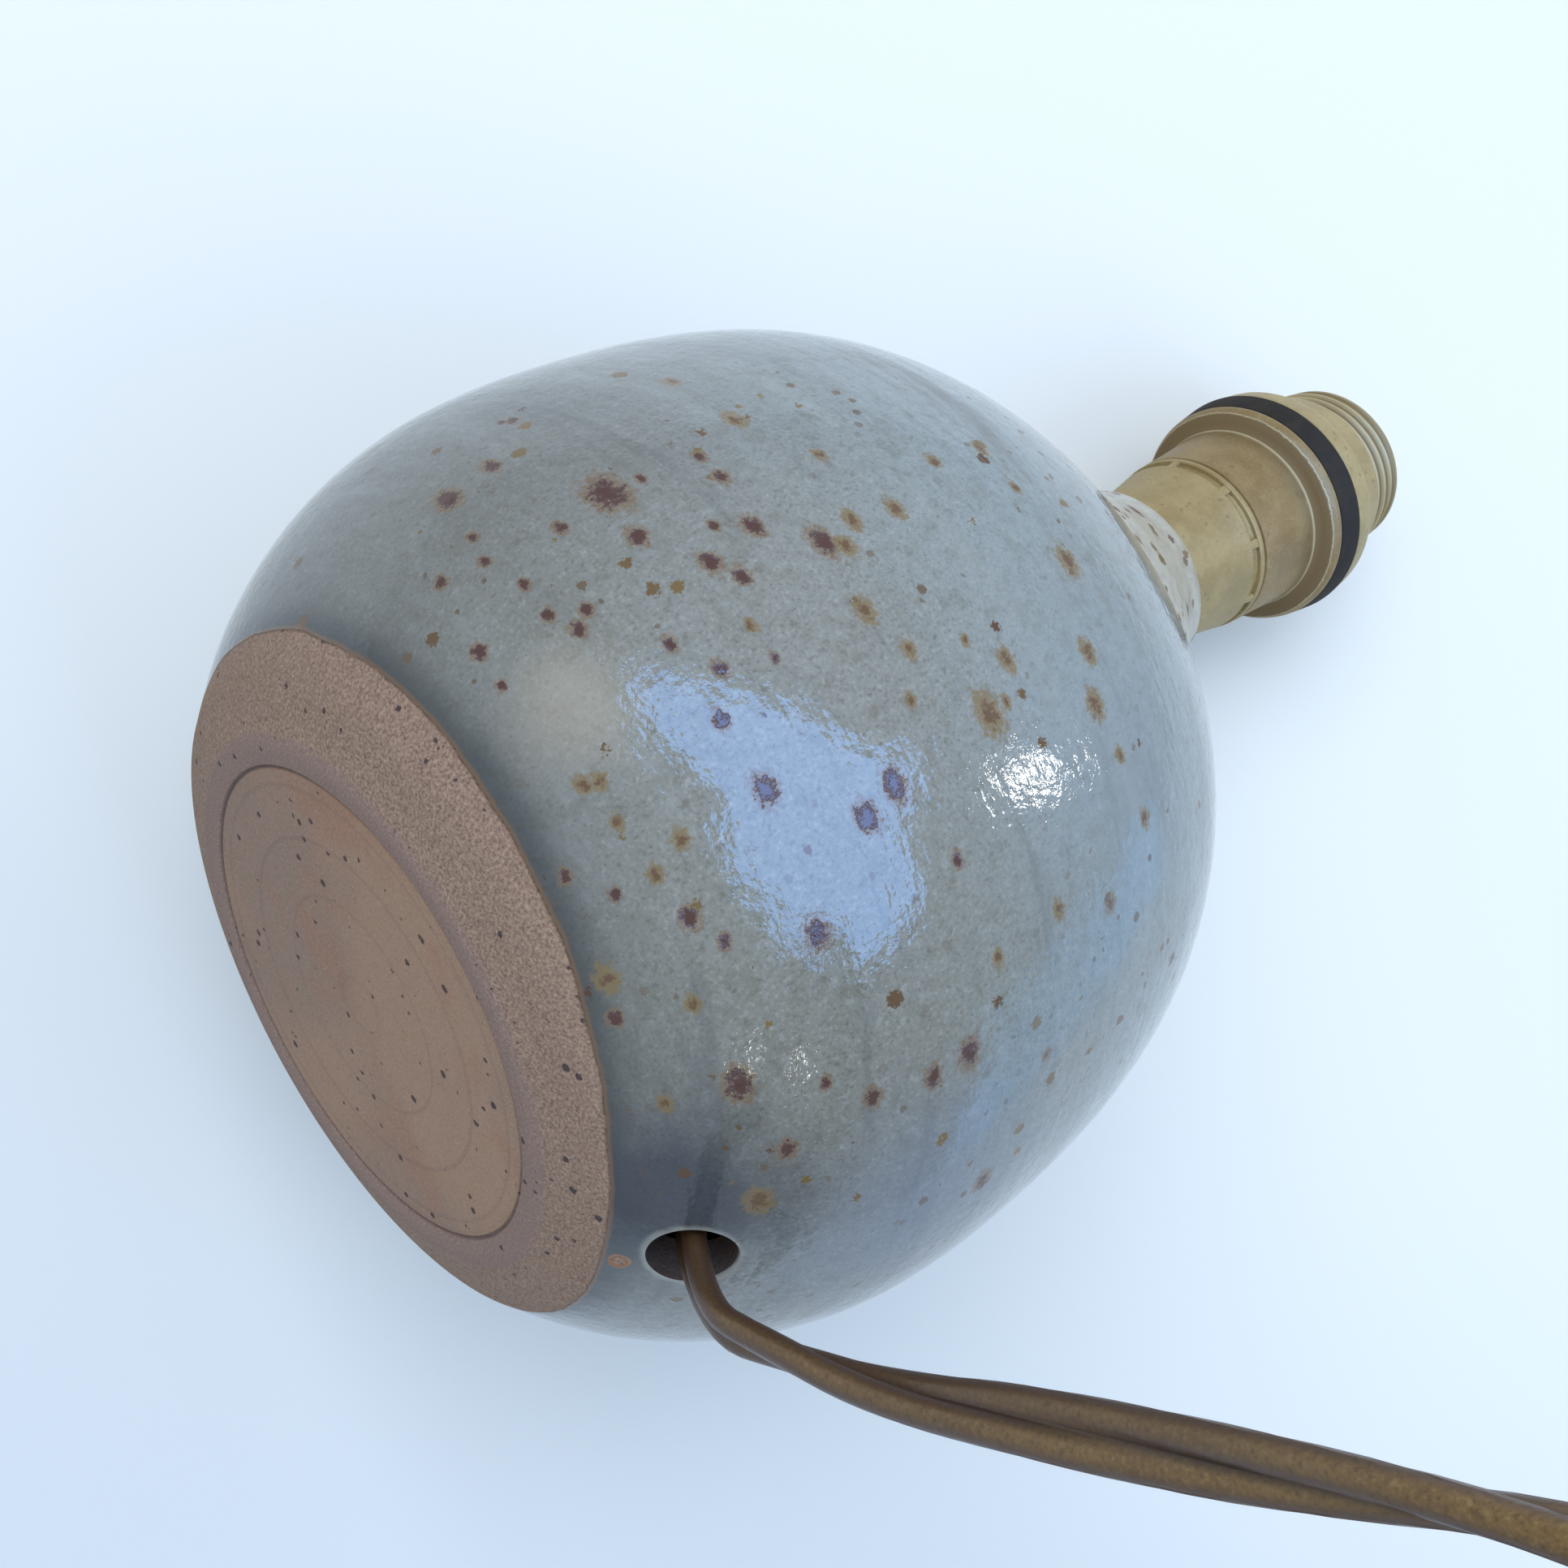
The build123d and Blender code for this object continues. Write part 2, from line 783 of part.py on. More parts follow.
def switch_cover():
    """Upper half of the switch with the rocker's window and pin holes."""
    solid = switch_half(switch_low_h, switch_top_h, False)
    window = Pos(0, 0, switch_low_h + switch_top_h) * Box(
        rocker_len + 6 * rocker_gap,
        rocker_w + 2 * rocker_gap,
        2 * switch_top_h,
    )
    cheek_w = 1.6 * switch_wall
    high = switch_low_h + switch_top_h
    for side in (-1, 1):
        cheek_y = side * (rocker_w / 2 + rocker_gap + cheek_w / 2)
        cheek = Pos(0, cheek_y, (high + pivot_h - 2 * rocker_pin_r) / 2)
        solid = solid + cheek * Box(rocker_len / 2, cheek_w, high - pivot_h + 2 * rocker_pin_r)
    solid = solid - window
    pin_hole = Pos(0, 0, pivot_h) * Rot(90, 0, 0) * Cylinder(rocker_pin_r + pin_clear, rocker_pin_len)
    solid = solid - pin_hole
    for side in (-1, 1):
        spot = Pos(side * switch_screw_x, switch_w / 3, switch_low_h + switch_top_h / 2)
        solid = solid + spot * Cylinder(2 * switch_screw_r, switch_top_h - switch_edge)
        deep = switch_screw_len - switch_low_h + switch_screw_head_h
        bore = Pos(side * switch_screw_x, switch_w / 3, switch_low_h + deep / 2) * Cylinder(switch_screw_r, deep)
        solid = solid - bore
    return switch_place() * solid


def switch_screw(side):
    """Countersunk screw from below that closes the housing."""
    head = Pos(0, 0, switch_screw_head_h / 2 + stack_gap) * Cylinder(
        switch_screw_head_r - stack_gap,
        switch_screw_head_h - 2 * stack_gap,
    )
    shaft_top = switch_screw_len + switch_screw_head_h - stack_gap
    shaft_low = switch_screw_head_h / 2
    shaft = Pos(0, 0, (shaft_top + shaft_low) / 2) * Cylinder(switch_screw_r - stack_gap, shaft_top - shaft_low)
    place = Pos(side * switch_screw_x, switch_w / 3, 0)
    return switch_place() * place * (head + shaft)


def rocker_outline():
    """Side outline of the rocker about its pivot."""
    high = switch_low_h + switch_top_h - pivot_h
    half = rocker_len / 2
    return [
        (-half, high + rocker_rise - rocker_end_h),
        (-half, high + rocker_rise + rocker_rise / 2),
        (0, high + rocker_rise / 2),
        (half, high + rocker_rise + rocker_rise / 2),
        (half, high + rocker_rise - rocker_end_h),
        (rocker_barrel_r, -rocker_barrel_r / 2),
        (-rocker_barrel_r, -rocker_barrel_r / 2),
    ]


def switch_rocker():
    """Rocker, at rest with one end pressed down."""
    face = make_face(Polyline(*[(x, 0, z) for x, z in rocker_outline()], close=True))
    solid = Pos(0, rocker_w / 2, 0) * extrude(face, rocker_w, dir=(0, -1, 0))
    barrel = Rot(90, 0, 0) * Cylinder(rocker_barrel_r, rocker_w)
    solid = solid + barrel
    solid = solid - Rot(90, 0, 0) * Cylinder(rocker_pin_r + pin_clear, 2 * rocker_w)
    return switch_place() * Pos(0, 0, pivot_h) * Rot(0, -rocker_tilt_deg, 0) * solid


def rocker_pin():
    """Pin that the rocker turns on."""
    return switch_place() * Pos(0, 0, pivot_h) * Rot(90, 0, 0) * Cylinder(rocker_pin_r, rocker_pin_len)


def switch_bridge():
    """Fixed contact strip on the floor of the switch."""
    z_mid = switch_wall + bridge_t / 2
    strip = Pos(0, 0, z_mid) * Box(bridge_len, bridge_w, bridge_t)
    tab = Pos(bridge_len / 2 - bridge_t / 2, 0, z_mid + bridge_w / 4) * Box(bridge_t, bridge_w, bridge_w / 2)
    return switch_place() * (strip + tab)


def switch_port(side):
    """Point and outward direction of a flex entry of the switch."""
    angle = math.radians(switch_heading)
    out = Vector(math.cos(angle), math.sin(angle), 0) * side
    return switch_centre + Vector(0, 0, switch_entry_h) + out * (switch_len / 2), out


def plug_place():
    """Frame of the plug, with its pins towards +X."""
    return Pos(plug_back.X, plug_back.Y, plug_t / 2) * Rot(0, 0, plug_heading)


def plug_body():
    """Flat two-pin plug body, tapering to the flex."""
    front = Plane(origin=(plug_neck_len + plug_len, 0, 0), z_dir=(-1, 0, 0)) * RectangleRounded(
        plug_t - 2 * disc_recess,
        plug_w - 2 * disc_recess,
        plug_round,
    )
    middle = Plane(origin=(plug_neck_len + plug_len / 2, 0, 0), z_dir=(-1, 0, 0)) * RectangleRounded(
        plug_t,
        plug_w,
        plug_round,
    )
    back = Plane(origin=(plug_neck_len, 0, 0), z_dir=(-1, 0, 0)) * RectangleRounded(
        plug_neck_t,
        plug_neck_w,
        plug_round,
    )
    tail = Plane(origin=(0, 0, 0), z_dir=(-1, 0, 0)) * RectangleRounded(
        cord_d + 2 * switch_edge,
        cord_d + 2 * switch_edge,
        plug_round,
    )
    solid = loft([front, middle, back, tail], ruled=True)
    for side in (-1, 1):
        hole = Pos(plug_neck_len + plug_len, side * plug_pin_pitch / 2, 0) * Rot(0, 90, 0)
        solid = solid - hole * Cylinder(plug_root_r + stack_gap, 2 * plug_pin_sink)
    return plug_place() * solid


def plug_pin(side):
    """One round pin of the plug with its thinner root."""
    face_x = plug_neck_len + plug_len
    pin = Cylinder(plug_pin_r, plug_pin_len)
    pin = fillet(pin.edges().sort_by(Axis.Z)[-1], plug_tip)
    root = Pos(0, 0, -(plug_pin_len + plug_pin_sink) / 2) * Cylinder(plug_root_r, plug_pin_sink)
    place = Pos(face_x + plug_pin_len / 2, side * plug_pin_pitch / 2, 0)
    return plug_place() * place * Rot(0, 90, 0) * (pin + root)


mid_route_points, switch_heading = mid_points()
switch_way = Vector(math.cos(math.radians(switch_heading)), math.sin(math.radians(switch_heading)), 0)
switch_centre = mid_route_points[-1] + switch_way * (switch_len / 2) - Vector(0, 0, switch_entry_h)
tail_route_points, plug_heading = tail_points()
plug_back = tail_route_points[-1]

export(ceramic_body(), "ceramic_body")
export(lower_cap(), "lower_cap")
export(outer_sleeve(), "outer_sleeve")
export(black_gasket(), "black_gasket")
export(shade_ring(), "shade_ring")
export(socket_core(), "socket_core")
export(screw_shell(), "screw_shell")
export(centre_contact(), "centre_contact")
export(terminal(1), "terminal_live")
export(terminal(-1), "terminal_neutral")
export(terminal_screw(1), "terminal_screw_live")
export(terminal_screw(-1), "terminal_screw_neutral")
export(threaded_tube(), "threaded_tube")
washer_z = neck_z + cap_floor
export(ring(washer_r, tube_r + thread_clear, washer_z, washer_z + washer_t), "clamp_washer")
export(hex_nut(washer_z + washer_t), "lock_nut")
export(toggle_bar(), "toggle_bar")
export(hex_nut(neck_z - bar_drop - bar_t - nut_h), "toggle_nut")

inner_route, inner_radii = inner_cord()
print("inner radii", [round(r, 1) for r in inner_radii])
export(swept_tube("inner_cord", inner_route, cord_d), "inner_cord")
lead_route, lead_radii = lead_path()
print("lead radii", [round(r, 1) for r in lead_radii])
export(swept_tube("cord_lead", lead_route, cord_d), "cord_lead")
coil_edges, coil_points = coil_wire()
coil_route = Wire([edge for part in coil_edges for edge in part.edges()])
export(swept_tube("cord_coil", coil_route, cord_d), "cord_coil")
print("coil least gap", round(least_gap(coil_points), 2))
export(coil_tie(), "coil_tie")
mid_route, mid_radii = rounded_path(mid_route_points)
print("mid radii", [round(r, 1) for r in mid_radii])
export(swept_tube("cord_mid", mid_route, cord_d), "cord_mid")
export(switch_base(), "switch_base")
export(switch_cover(), "switch_cover")
export(switch_screw(1), "switch_screw_a")
export(switch_screw(-1), "switch_screw_b")
export(switch_rocker(), "switch_rocker")
export(rocker_pin(), "rocker_pin")
export(switch_bridge(), "switch_bridge")
tail_route, tail_radii = rounded_path(tail_route_points)
print("tail radii", [round(r, 1) for r in tail_radii])
export(swept_tube("cord_tail", tail_route, cord_d), "cord_tail")
export(plug_body(), "plug_body")
export(plug_pin(1), "plug_pin_a")
export(plug_pin(-1), "plug_pin_b")
length = lead_route.length + coil_route.length + mid_route.length + tail_route.length + switch_len
print("flex from the hole to the plug", round(length, 0))
print("switch centre", [round(v, 2) for v in switch_centre], "heading", round(switch_heading, 2))
print("plug entry", [round(v, 2) for v in plug_back], "heading", round(plug_heading, 2))
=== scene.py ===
# %% [markdown]
# # A stoneware table lamp base
# A potter threw this lamp as a closed ball with a short neck, glazed it by dipping, and screwed
# a small lampholder with a shade ring on top. The solids give the true sizes and the moving
# bodies. This lesson gives each of them its surface, and remakes the pieces whose look needs
# more than a solid can carry.

# %% The frame and its solids
import math

import bpy
from mathutils import Matrix, Vector


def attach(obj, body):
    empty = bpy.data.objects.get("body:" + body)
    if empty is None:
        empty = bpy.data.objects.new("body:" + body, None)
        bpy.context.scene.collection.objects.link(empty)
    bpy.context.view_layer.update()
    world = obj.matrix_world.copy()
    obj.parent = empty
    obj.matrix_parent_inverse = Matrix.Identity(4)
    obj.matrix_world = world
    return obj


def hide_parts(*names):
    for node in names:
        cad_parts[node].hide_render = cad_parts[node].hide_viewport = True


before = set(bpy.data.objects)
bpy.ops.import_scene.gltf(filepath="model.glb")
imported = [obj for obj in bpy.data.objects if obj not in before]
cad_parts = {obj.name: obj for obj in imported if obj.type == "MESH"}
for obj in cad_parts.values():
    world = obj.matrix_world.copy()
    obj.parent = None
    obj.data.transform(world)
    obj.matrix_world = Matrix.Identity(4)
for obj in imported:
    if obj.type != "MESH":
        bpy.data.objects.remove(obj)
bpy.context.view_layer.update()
MM = 0.001

# %% [markdown]
# ## The camera
# The lamp lies on its side in the photograph and the camera looks at it from the foot's side.
# The lamp stands upright here, so the camera goes below the table top instead, where it sees
# the same outline. Its place comes from circles of known size on the lamp, such as the rim of
# the neck. A small lens shift gives the photograph's own framing.

# %% Camera
bpy.ops.object.camera_add()
camera = bpy.context.object
camera.name = "photo_camera"
camera_right = Vector((0.12616, 0.66336, 0.73759))
camera_down = Vector((-0.75326, 0.54788, -0.36390))
camera_ahead = Vector((-0.64550, -0.50969, 0.56880))
turn = Matrix((camera_right, -camera_down, -camera_ahead)).transposed()
camera.matrix_world = Matrix.Translation((0.168726, 0.110411, -0.077440)) @ turn.to_4x4()
camera.data.sensor_width = 36.0
camera.data.lens = 43.024
camera.data.shift_x = 0.05756
camera.data.shift_y = -0.07772
camera.data.clip_start = 0.01
bpy.context.scene.camera = camera

# %% [markdown]
# ## Finding things again
# An operator acts on everything that is selected, so each step starts with nothing selected.
# Faces are picked by their place, as one would click them.

# %% Small helpers
def clear():
    """Object mode, with nothing selected."""
    if bpy.context.mode != "OBJECT":
        bpy.ops.object.mode_set(mode="OBJECT")
    bpy.ops.object.select_all(action="DESELECT")


def pick(obj):
    """Only this object is selected and active."""
    clear()
    obj.select_set(True)
    bpy.context.view_layer.objects.active = obj


def apply_all(obj):
    """Every modifier becomes part of the mesh."""
    pick(obj)
    for modifier in list(obj.modifiers):
        bpy.ops.object.modifier_apply(modifier=modifier.name)


def soften(obj, width, segments=2, angle=35):
    """Small rounds on the sharp edges, and smooth faces between them."""
    bevel = obj.modifiers.new("edges", "BEVEL")
    bevel.width = width
    bevel.segments = segments
    bevel.limit_method = "ANGLE"
    bevel.angle_limit = math.radians(angle)
    bevel.use_clamp_overlap = True
    apply_all(obj)
    bpy.ops.object.shade_smooth_by_angle(angle=math.radians(40))


def part_way(before, start, end, after, t):
    """A number part way from start to end, on the smooth curve through all four."""
    bend = 2 * before - 5 * start + 4 * end - after
    lean = 3 * start - before - 3 * end + after
    return 0.5 * (2 * start + (end - before) * t + bend * t * t + lean * t ** 3)


def facing_along(place, way):
    """Placing that moves a piece's own origin to a place and turns its axis along a way."""
    return Matrix.Translation(place) @ way.to_track_quat("Z", "Y").to_matrix().to_4x4()


def flowing(points, parts=4):
    """More points between the given ones, on a line that flows through them all."""
    ends = [points[0], *points, points[-1]]
    made = []
    for four in zip(ends[:-3], ends[1:-2], ends[2:-1], ends[3:]):
        for i in range(parts):
            made.append(tuple(part_way(*numbers, i / parts) for numbers in zip(*four)))
    return made + [points[-1]]


def turned(name, outline, steps=160):
    """A piece from the lathe: one point is drawn out along the outline and spun round the axis."""
    clear()
    bpy.ops.mesh.primitive_plane_add(size=MM)
    obj = bpy.context.object
    obj.name = name
    bpy.ops.object.mode_set(mode="EDIT")
    bpy.ops.mesh.merge(type="CENTER")
    here = outline[0]
    bpy.ops.transform.translate(value=(here[0] * MM, 0, here[1] * MM))
    for point in outline[1:]:
        step = ((point[0] - here[0]) * MM, 0, (point[1] - here[1]) * MM)
        bpy.ops.mesh.extrude_region_move(TRANSFORM_OT_translate={"value": step})
        here = point
    bpy.ops.mesh.select_all(action="SELECT")
    bpy.ops.mesh.spin(steps=steps, angle=math.tau, center=(0, 0, 0), axis=(0, 0, 1))
    bpy.ops.mesh.select_all(action="SELECT")
    bpy.ops.mesh.remove_doubles(threshold=0.000005)
    bpy.ops.mesh.normals_make_consistent(inside=False)
    bpy.ops.object.mode_set(mode="OBJECT")
    bpy.ops.object.shade_smooth_by_angle(angle=math.radians(40))
    print(name, "faces", len(obj.data.polygons))
    return obj


# %% [markdown]
# ## The flex
# A twin flex is two round cores side by side, joined by a thin web. It is stiff enough to keep
# slow twists from the drum it came on. A curve with the flex's own section as its bevel
# follows the route, and a tilt at each point gives the twist. The section is drawn in
# millimetres, and the radius of each point brings it down to metres. The unseen length is put
# away in a neat coil, and its turns are points of the same curve.

# %% Section of the flex
core_r = 1.35
arc_points = 11
arc_step = 31
section = []
for side in (1, -1):
    for i in range(arc_points):
        a = math.radians((i - arc_points // 2) * arc_step + (0 if side == 1 else 180))
        section.append((side * core_r + core_r * math.cos(a), core_r * math.sin(a)))
section_data = bpy.data.curves.new("flex_section", "CURVE")
section_data.dimensions = "2D"
loop = section_data.splines.new("POLY")
loop.points.add(len(section) - 1)
for point, (u, v) in zip(loop.points, section):
    point.co = (u, v, 0, 1)
loop.use_cyclic_u = True
flex_section = bpy.data.objects.new("flex_section", section_data)
bpy.context.scene.collection.objects.link(flex_section)
flex_section.hide_render = True
flex_section.hide_set(True)

# %% Route of the flex
lead = [
    (0.00097, 0.04637, 0.0088), (0.00545, 0.05437, 0.0027), (0.0114, 0.0621, 0.0027),
    (0.0203, 0.0735, 0.0027), (0.0333, 0.085, 0.0027), (0.049, 0.0994, 0.0027),
    (0.0695, 0.1169, 0.0027), (0.07667, 0.13028, 0.00365), (0.08192, 0.14326, 0.00365),
]
mid = [
    (0.00404, 0.17473, 0.00965), (0.00029, 0.16545, 0.00965), (-0.00378, 0.15632, 0.0082),
    (-0.00816, 0.14733, 0.0082),
]
tail = [
    (-0.03446, 0.0934, 0.0082), (-0.04279, 0.07633, 0.0082), (-0.05987, 0.068, 0.00627),
    (-0.07845, 0.07195, 0.0027), (-0.09067, 0.0865, 0.0027), (-0.09133, 0.10549, 0.00685),
    (-0.08016, 0.12086, 0.00685),
]
inside = [
    (0.00097, 0.04637, 0.0088), (-0.00473, 0.03621, 0.01657), (-0.00158, 0.01207, 0.05888),
    (0.0, 0.0, 0.08579), (0.0, 0.0, 0.1476),
]


def coil_points():
    """Half turns that spiral in, climb one layer, and spiral out again."""
    centre = Vector((0.045, 0.164, 0.00365))
    angle = math.radians(-22)
    along = Vector((math.cos(angle), math.sin(angle), 0))
    travel = Vector((-math.sin(angle), math.cos(angle), 0))
    first, half_step, layer, halves, parts = 0.042, 0.0034, 0.006, 7, 8
    places = [((-1) ** k * (first - k * half_step), 0) for k in range(halves + 1)]
    places += [((-1) ** k * (first - (halves - k) * half_step), layer) for k in range(halves + 1)]
    made = []
    for k, ((s0, z0), (s1, z1)) in enumerate(zip(places[:-1], places[1:])):
        side = 1 if k % 2 == 0 else -1
        radius = abs(s1 - s0) / 2
        for j in range(parts):
            a = math.pi * (j + 0.5) / parts
            wide = radius / math.cos(math.pi / parts / 2)
            flat = (s0 + s1) / 2 + (s0 - s1) / 2 / radius * wide * math.cos(a)
            height = z0 + (z1 - z0) * (0.5 - 0.5 * math.cos(a))
            made.append(centre + along * flat + travel * side * wide * math.sin(a) + Vector((0, 0, height)))
    return made


def flex(name, route, tilts):
    """One stretch of flex along its route, with the tilt at each point."""
    data = bpy.data.curves.new(name, "CURVE")
    data.dimensions = "3D"
    data.twist_mode = "Z_UP"
    data.resolution_u = 6
    data.bevel_mode = "OBJECT"
    data.bevel_object = flex_section
    data.use_fill_caps = True
    spline = data.splines.new("NURBS")
    spline.points.add(len(route) - 1)
    for point, place, tilt in zip(spline.points, route, tilts):
        point.co = (*place, 1)
        point.tilt = math.radians(tilt)
        point.radius = MM
    spline.order_u = 3
    spline.use_endpoint_u = True
    obj = bpy.data.objects.new(name, data)
    bpy.context.scene.collection.objects.link(obj)
    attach(obj, "base")
    return obj


coil = coil_points()
route = lead + coil + mid
tilts = [-17, 3, 30, 74, 118, 168, 250, 278, 292]
tilts += [296 + 3.2 * k for k in range(len(coil))]
last = tilts[-1]
level = round(last / 180) * 180
tilts += [last + (level - last) * k / 3 for k in range(4)]
flex_run = flex("flex_run", route, tilts)
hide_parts("cord_lead", "cord_coil", "cord_mid")
flex_tail = flex("flex_tail", tail, [0, 0, 25, 70, 120, 170, 180])
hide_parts("cord_tail")
flex_inside = flex("flex_inside", inside, [17, 30, 60, 100, 130])
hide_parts("inner_cord")
print("flex points", len(route))

# %% [markdown]
# ## Colours and nodes
# Colours are read off the photograph as ordinary screen values, and the shader wants linear
# ones. A few helpers keep the node trees short: each adds one node, and gives back the output
# that the next node needs.

# %% Node helpers
def tint(red, green, blue):
    """A screen colour from 0 to 255 as the linear colour that a shader takes."""
    screen = [v / 255 for v in (red, green, blue)]
    return (*[((v + 0.055) / 1.055) ** 2.4 if v > 0.04 else v / 12.92 for v in screen], 1)


def finish(name, colour, roughness, metallic=0.0, **sockets):
    """A new material with its shader's own values set."""
    material = bpy.data.materials.new(name)
    material.use_nodes = True
    shader = material.node_tree.nodes["Principled BSDF"]
    shader.inputs["Base Color"].default_value = colour
    shader.inputs["Roughness"].default_value = roughness
    shader.inputs["Metallic"].default_value = metallic
    for socket, value in sockets.items():
        shader.inputs[socket.replace("_", " ")].default_value = value
    return material, material.node_tree, shader


def add(tree, kind, inputs=None, **settings):
    """One node, with its settings, and each input either linked or set."""
    made = tree.nodes.new(kind)
    for key, value in settings.items():
        setattr(made, key, value)
    for key, value in (inputs or {}).items():
        if isinstance(value, bpy.types.NodeSocket):
            tree.links.new(value, made.inputs[key])
        else:
            made.inputs[key].default_value = value
    return made


def sum_of(tree, operation, a, b=0.0, c=None):
    """Output of a Math node."""
    inputs = {0: a, 1: b}
    if c is not None:
        inputs[2] = c
    return add(tree, "ShaderNodeMath", inputs, operation=operation).outputs[0]


def apart(tree, value, level):
    """How far a value lies from a level, to either side."""
    return sum_of(tree, "ABSOLUTE", sum_of(tree, "SUBTRACT", value, level))


def vector_of(tree, operation, *places):
    """Vector output of a Vector Math node."""
    return add(tree, "ShaderNodeVectorMath", dict(enumerate(places)), operation=operation).outputs["Vector"]


def measure_of(tree, operation, *places):
    """Number output of a Vector Math node: a length, a distance or a dot product."""
    return add(tree, "ShaderNodeVectorMath", dict(enumerate(places)), operation=operation).outputs["Value"]


def axes_of(tree, place):
    """The three coordinates of a place."""
    return add(tree, "ShaderNodeSeparateXYZ", {0: place}).outputs


def step_up(tree, value, low, high, start=0.0, end=1.0):
    """Smooth step of a value between two limits."""
    inputs = {"Value": value, "From Min": low, "From Max": high, "To Min": start, "To Max": end}
    return add(tree, "ShaderNodeMapRange", inputs, interpolation_type="SMOOTHSTEP").outputs[0]


def blend(tree, mask, a, b):
    """One colour turning into another by a mask."""
    return add(tree, "ShaderNodeMix", {0: mask, 6: a, 7: b}, data_type="RGBA").outputs[2]


def between(tree, mask, a, b):
    """One number turning into another by a mask."""
    return add(tree, "ShaderNodeMix", {0: mask, 2: a, 3: b}, data_type="FLOAT").outputs[0]


def noise(tree, place, scale, detail=3.0, rough=0.55):
    """Noise value at a place."""
    inputs = {"Vector": place, "Scale": scale, "Detail": detail, "Roughness": rough}
    return add(tree, "ShaderNodeTexNoise", inputs).outputs[0]


def object_place(tree):
    """Coordinates of the piece, in metres."""
    return add(tree, "ShaderNodeTexCoord").outputs["Object"]


def bump(tree, shader, height, depth, strength=1.0, under=None):
    """Relief of a height, which feeds the shader's normal."""
    inputs = {"Height": height, "Distance": depth, "Strength": strength}
    if under is not None:
        inputs["Normal"] = under
    made = add(tree, "ShaderNodeBump", inputs).outputs[0]
    tree.links.new(made, shader.inputs["Normal"])
    return made


# %% [markdown]
# ### Shared effects
# Three effects come back in several finishes, so each is a node group. Grain is fine noise with
# its own contrast. Specks are small ragged dots of uneven size, scattered like the iron in the
# clay. Scuffs are thin, broken lines that handling leaves on moulded plastic.

# %% Groups for grain, specks and scuffs
def group(name, inputs, outputs):
    """An empty node group with its sockets."""
    tree = bpy.data.node_groups.new(name, "ShaderNodeTree")
    for title, default in inputs.items():
        socket = tree.interface.new_socket(title, in_out="INPUT", socket_type="NodeSocketFloat")
        socket.default_value = default
    for title in outputs:
        tree.interface.new_socket(title, in_out="OUTPUT", socket_type="NodeSocketFloat")
    start = tree.nodes.new("NodeGroupInput")
    end = tree.nodes.new("NodeGroupOutput")
    return tree, start, end


grain_group, start, end = group("grain", {"Scale": 800, "Contrast": 1.0}, ["Value"])
fine = noise(grain_group, object_place(grain_group), start.outputs["Scale"], 4.0, 0.6)
centred = sum_of(grain_group, "SUBTRACT", fine, 0.5)
wide = sum_of(grain_group, "MULTIPLY_ADD", centred, start.outputs["Contrast"], 0.5)
grain_group.links.new(wide, end.inputs["Value"])

specks_group, start, end = group("specks", {"Scale": 300, "Size": 0.2, "Ragged": 0.1}, ["Mask", "Shade"])
here = object_place(specks_group)
ragged = noise(specks_group, here, 2600.0, 2.0)
cell_inputs = {"Vector": here, "Scale": start.outputs["Scale"], "Randomness": 1.0}
cells = add(specks_group, "ShaderNodeTexVoronoi", cell_inputs)
parts = add(specks_group, "ShaderNodeSeparateColor", {0: cells.outputs["Color"]})
uneven = sum_of(specks_group, "POWER", parts.outputs[0], 2.5)
reach = sum_of(specks_group, "MULTIPLY", uneven, start.outputs["Size"])
edge = sum_of(specks_group, "SUBTRACT", ragged, 0.5)
near = sum_of(specks_group, "MULTIPLY_ADD", edge, start.outputs["Ragged"], cells.outputs["Distance"])
inside_speck = sum_of(specks_group, "SUBTRACT", reach, near)
specks_group.links.new(step_up(specks_group, inside_speck, 0.0, 0.05), end.inputs["Mask"])
specks_group.links.new(parts.outputs[1], end.inputs["Shade"])

scuffs_group, start, end = group("scuffs", {"Scale": 90, "Amount": 0.5}, ["Mask"])
here = object_place(scuffs_group)
bend_inputs = {"Vector": here, "Scale": 60.0, "Detail": 2.0}
bent = add(scuffs_group, "ShaderNodeTexNoise", bend_inputs).outputs["Color"]
moved = vector_of(scuffs_group, "MULTIPLY_ADD", here, bent, (0.012, 0.012, 0.012))
edge_inputs = {"Vector": moved, "Scale": start.outputs["Scale"]}
edges = add(scuffs_group, "ShaderNodeTexVoronoi", edge_inputs, feature="DISTANCE_TO_EDGE")
thin = step_up(scuffs_group, edges.outputs["Distance"], 0.0, 0.02, 1.0, 0.0)
patchy = step_up(scuffs_group, noise(scuffs_group, here, 140.0, 2.0), 0.5, 0.7)
broken = sum_of(scuffs_group, "MULTIPLY", thin, patchy)
marks = sum_of(scuffs_group, "MULTIPLY", broken, start.outputs["Amount"])
scuffs_group.links.new(marks, end.inputs["Mask"])
print("groups", grain_group.name, specks_group.name, scuffs_group.name)


def effect(tree, which, **inputs):
    """A placed node group with its own values."""
    made = add(tree, "ShaderNodeGroup", node_tree=which)
    for key, value in inputs.items():
        made.inputs[key].default_value = value
    return made


# %% [markdown]
# ## The stoneware
# The potter dipped the body in a blue-grey glaze, held by its foot at a slight slant, so the
# edge of the glaze is a tilted line round the foot. Iron in the clay bleeds through as brown
# spots with ragged edges. The larger spots stand where the photograph shows them, and the
# small ones are scattered. The shape is one outline turned on the lathe, wall and cavity in
# one, and the cable hole is cut with a flared cutter.

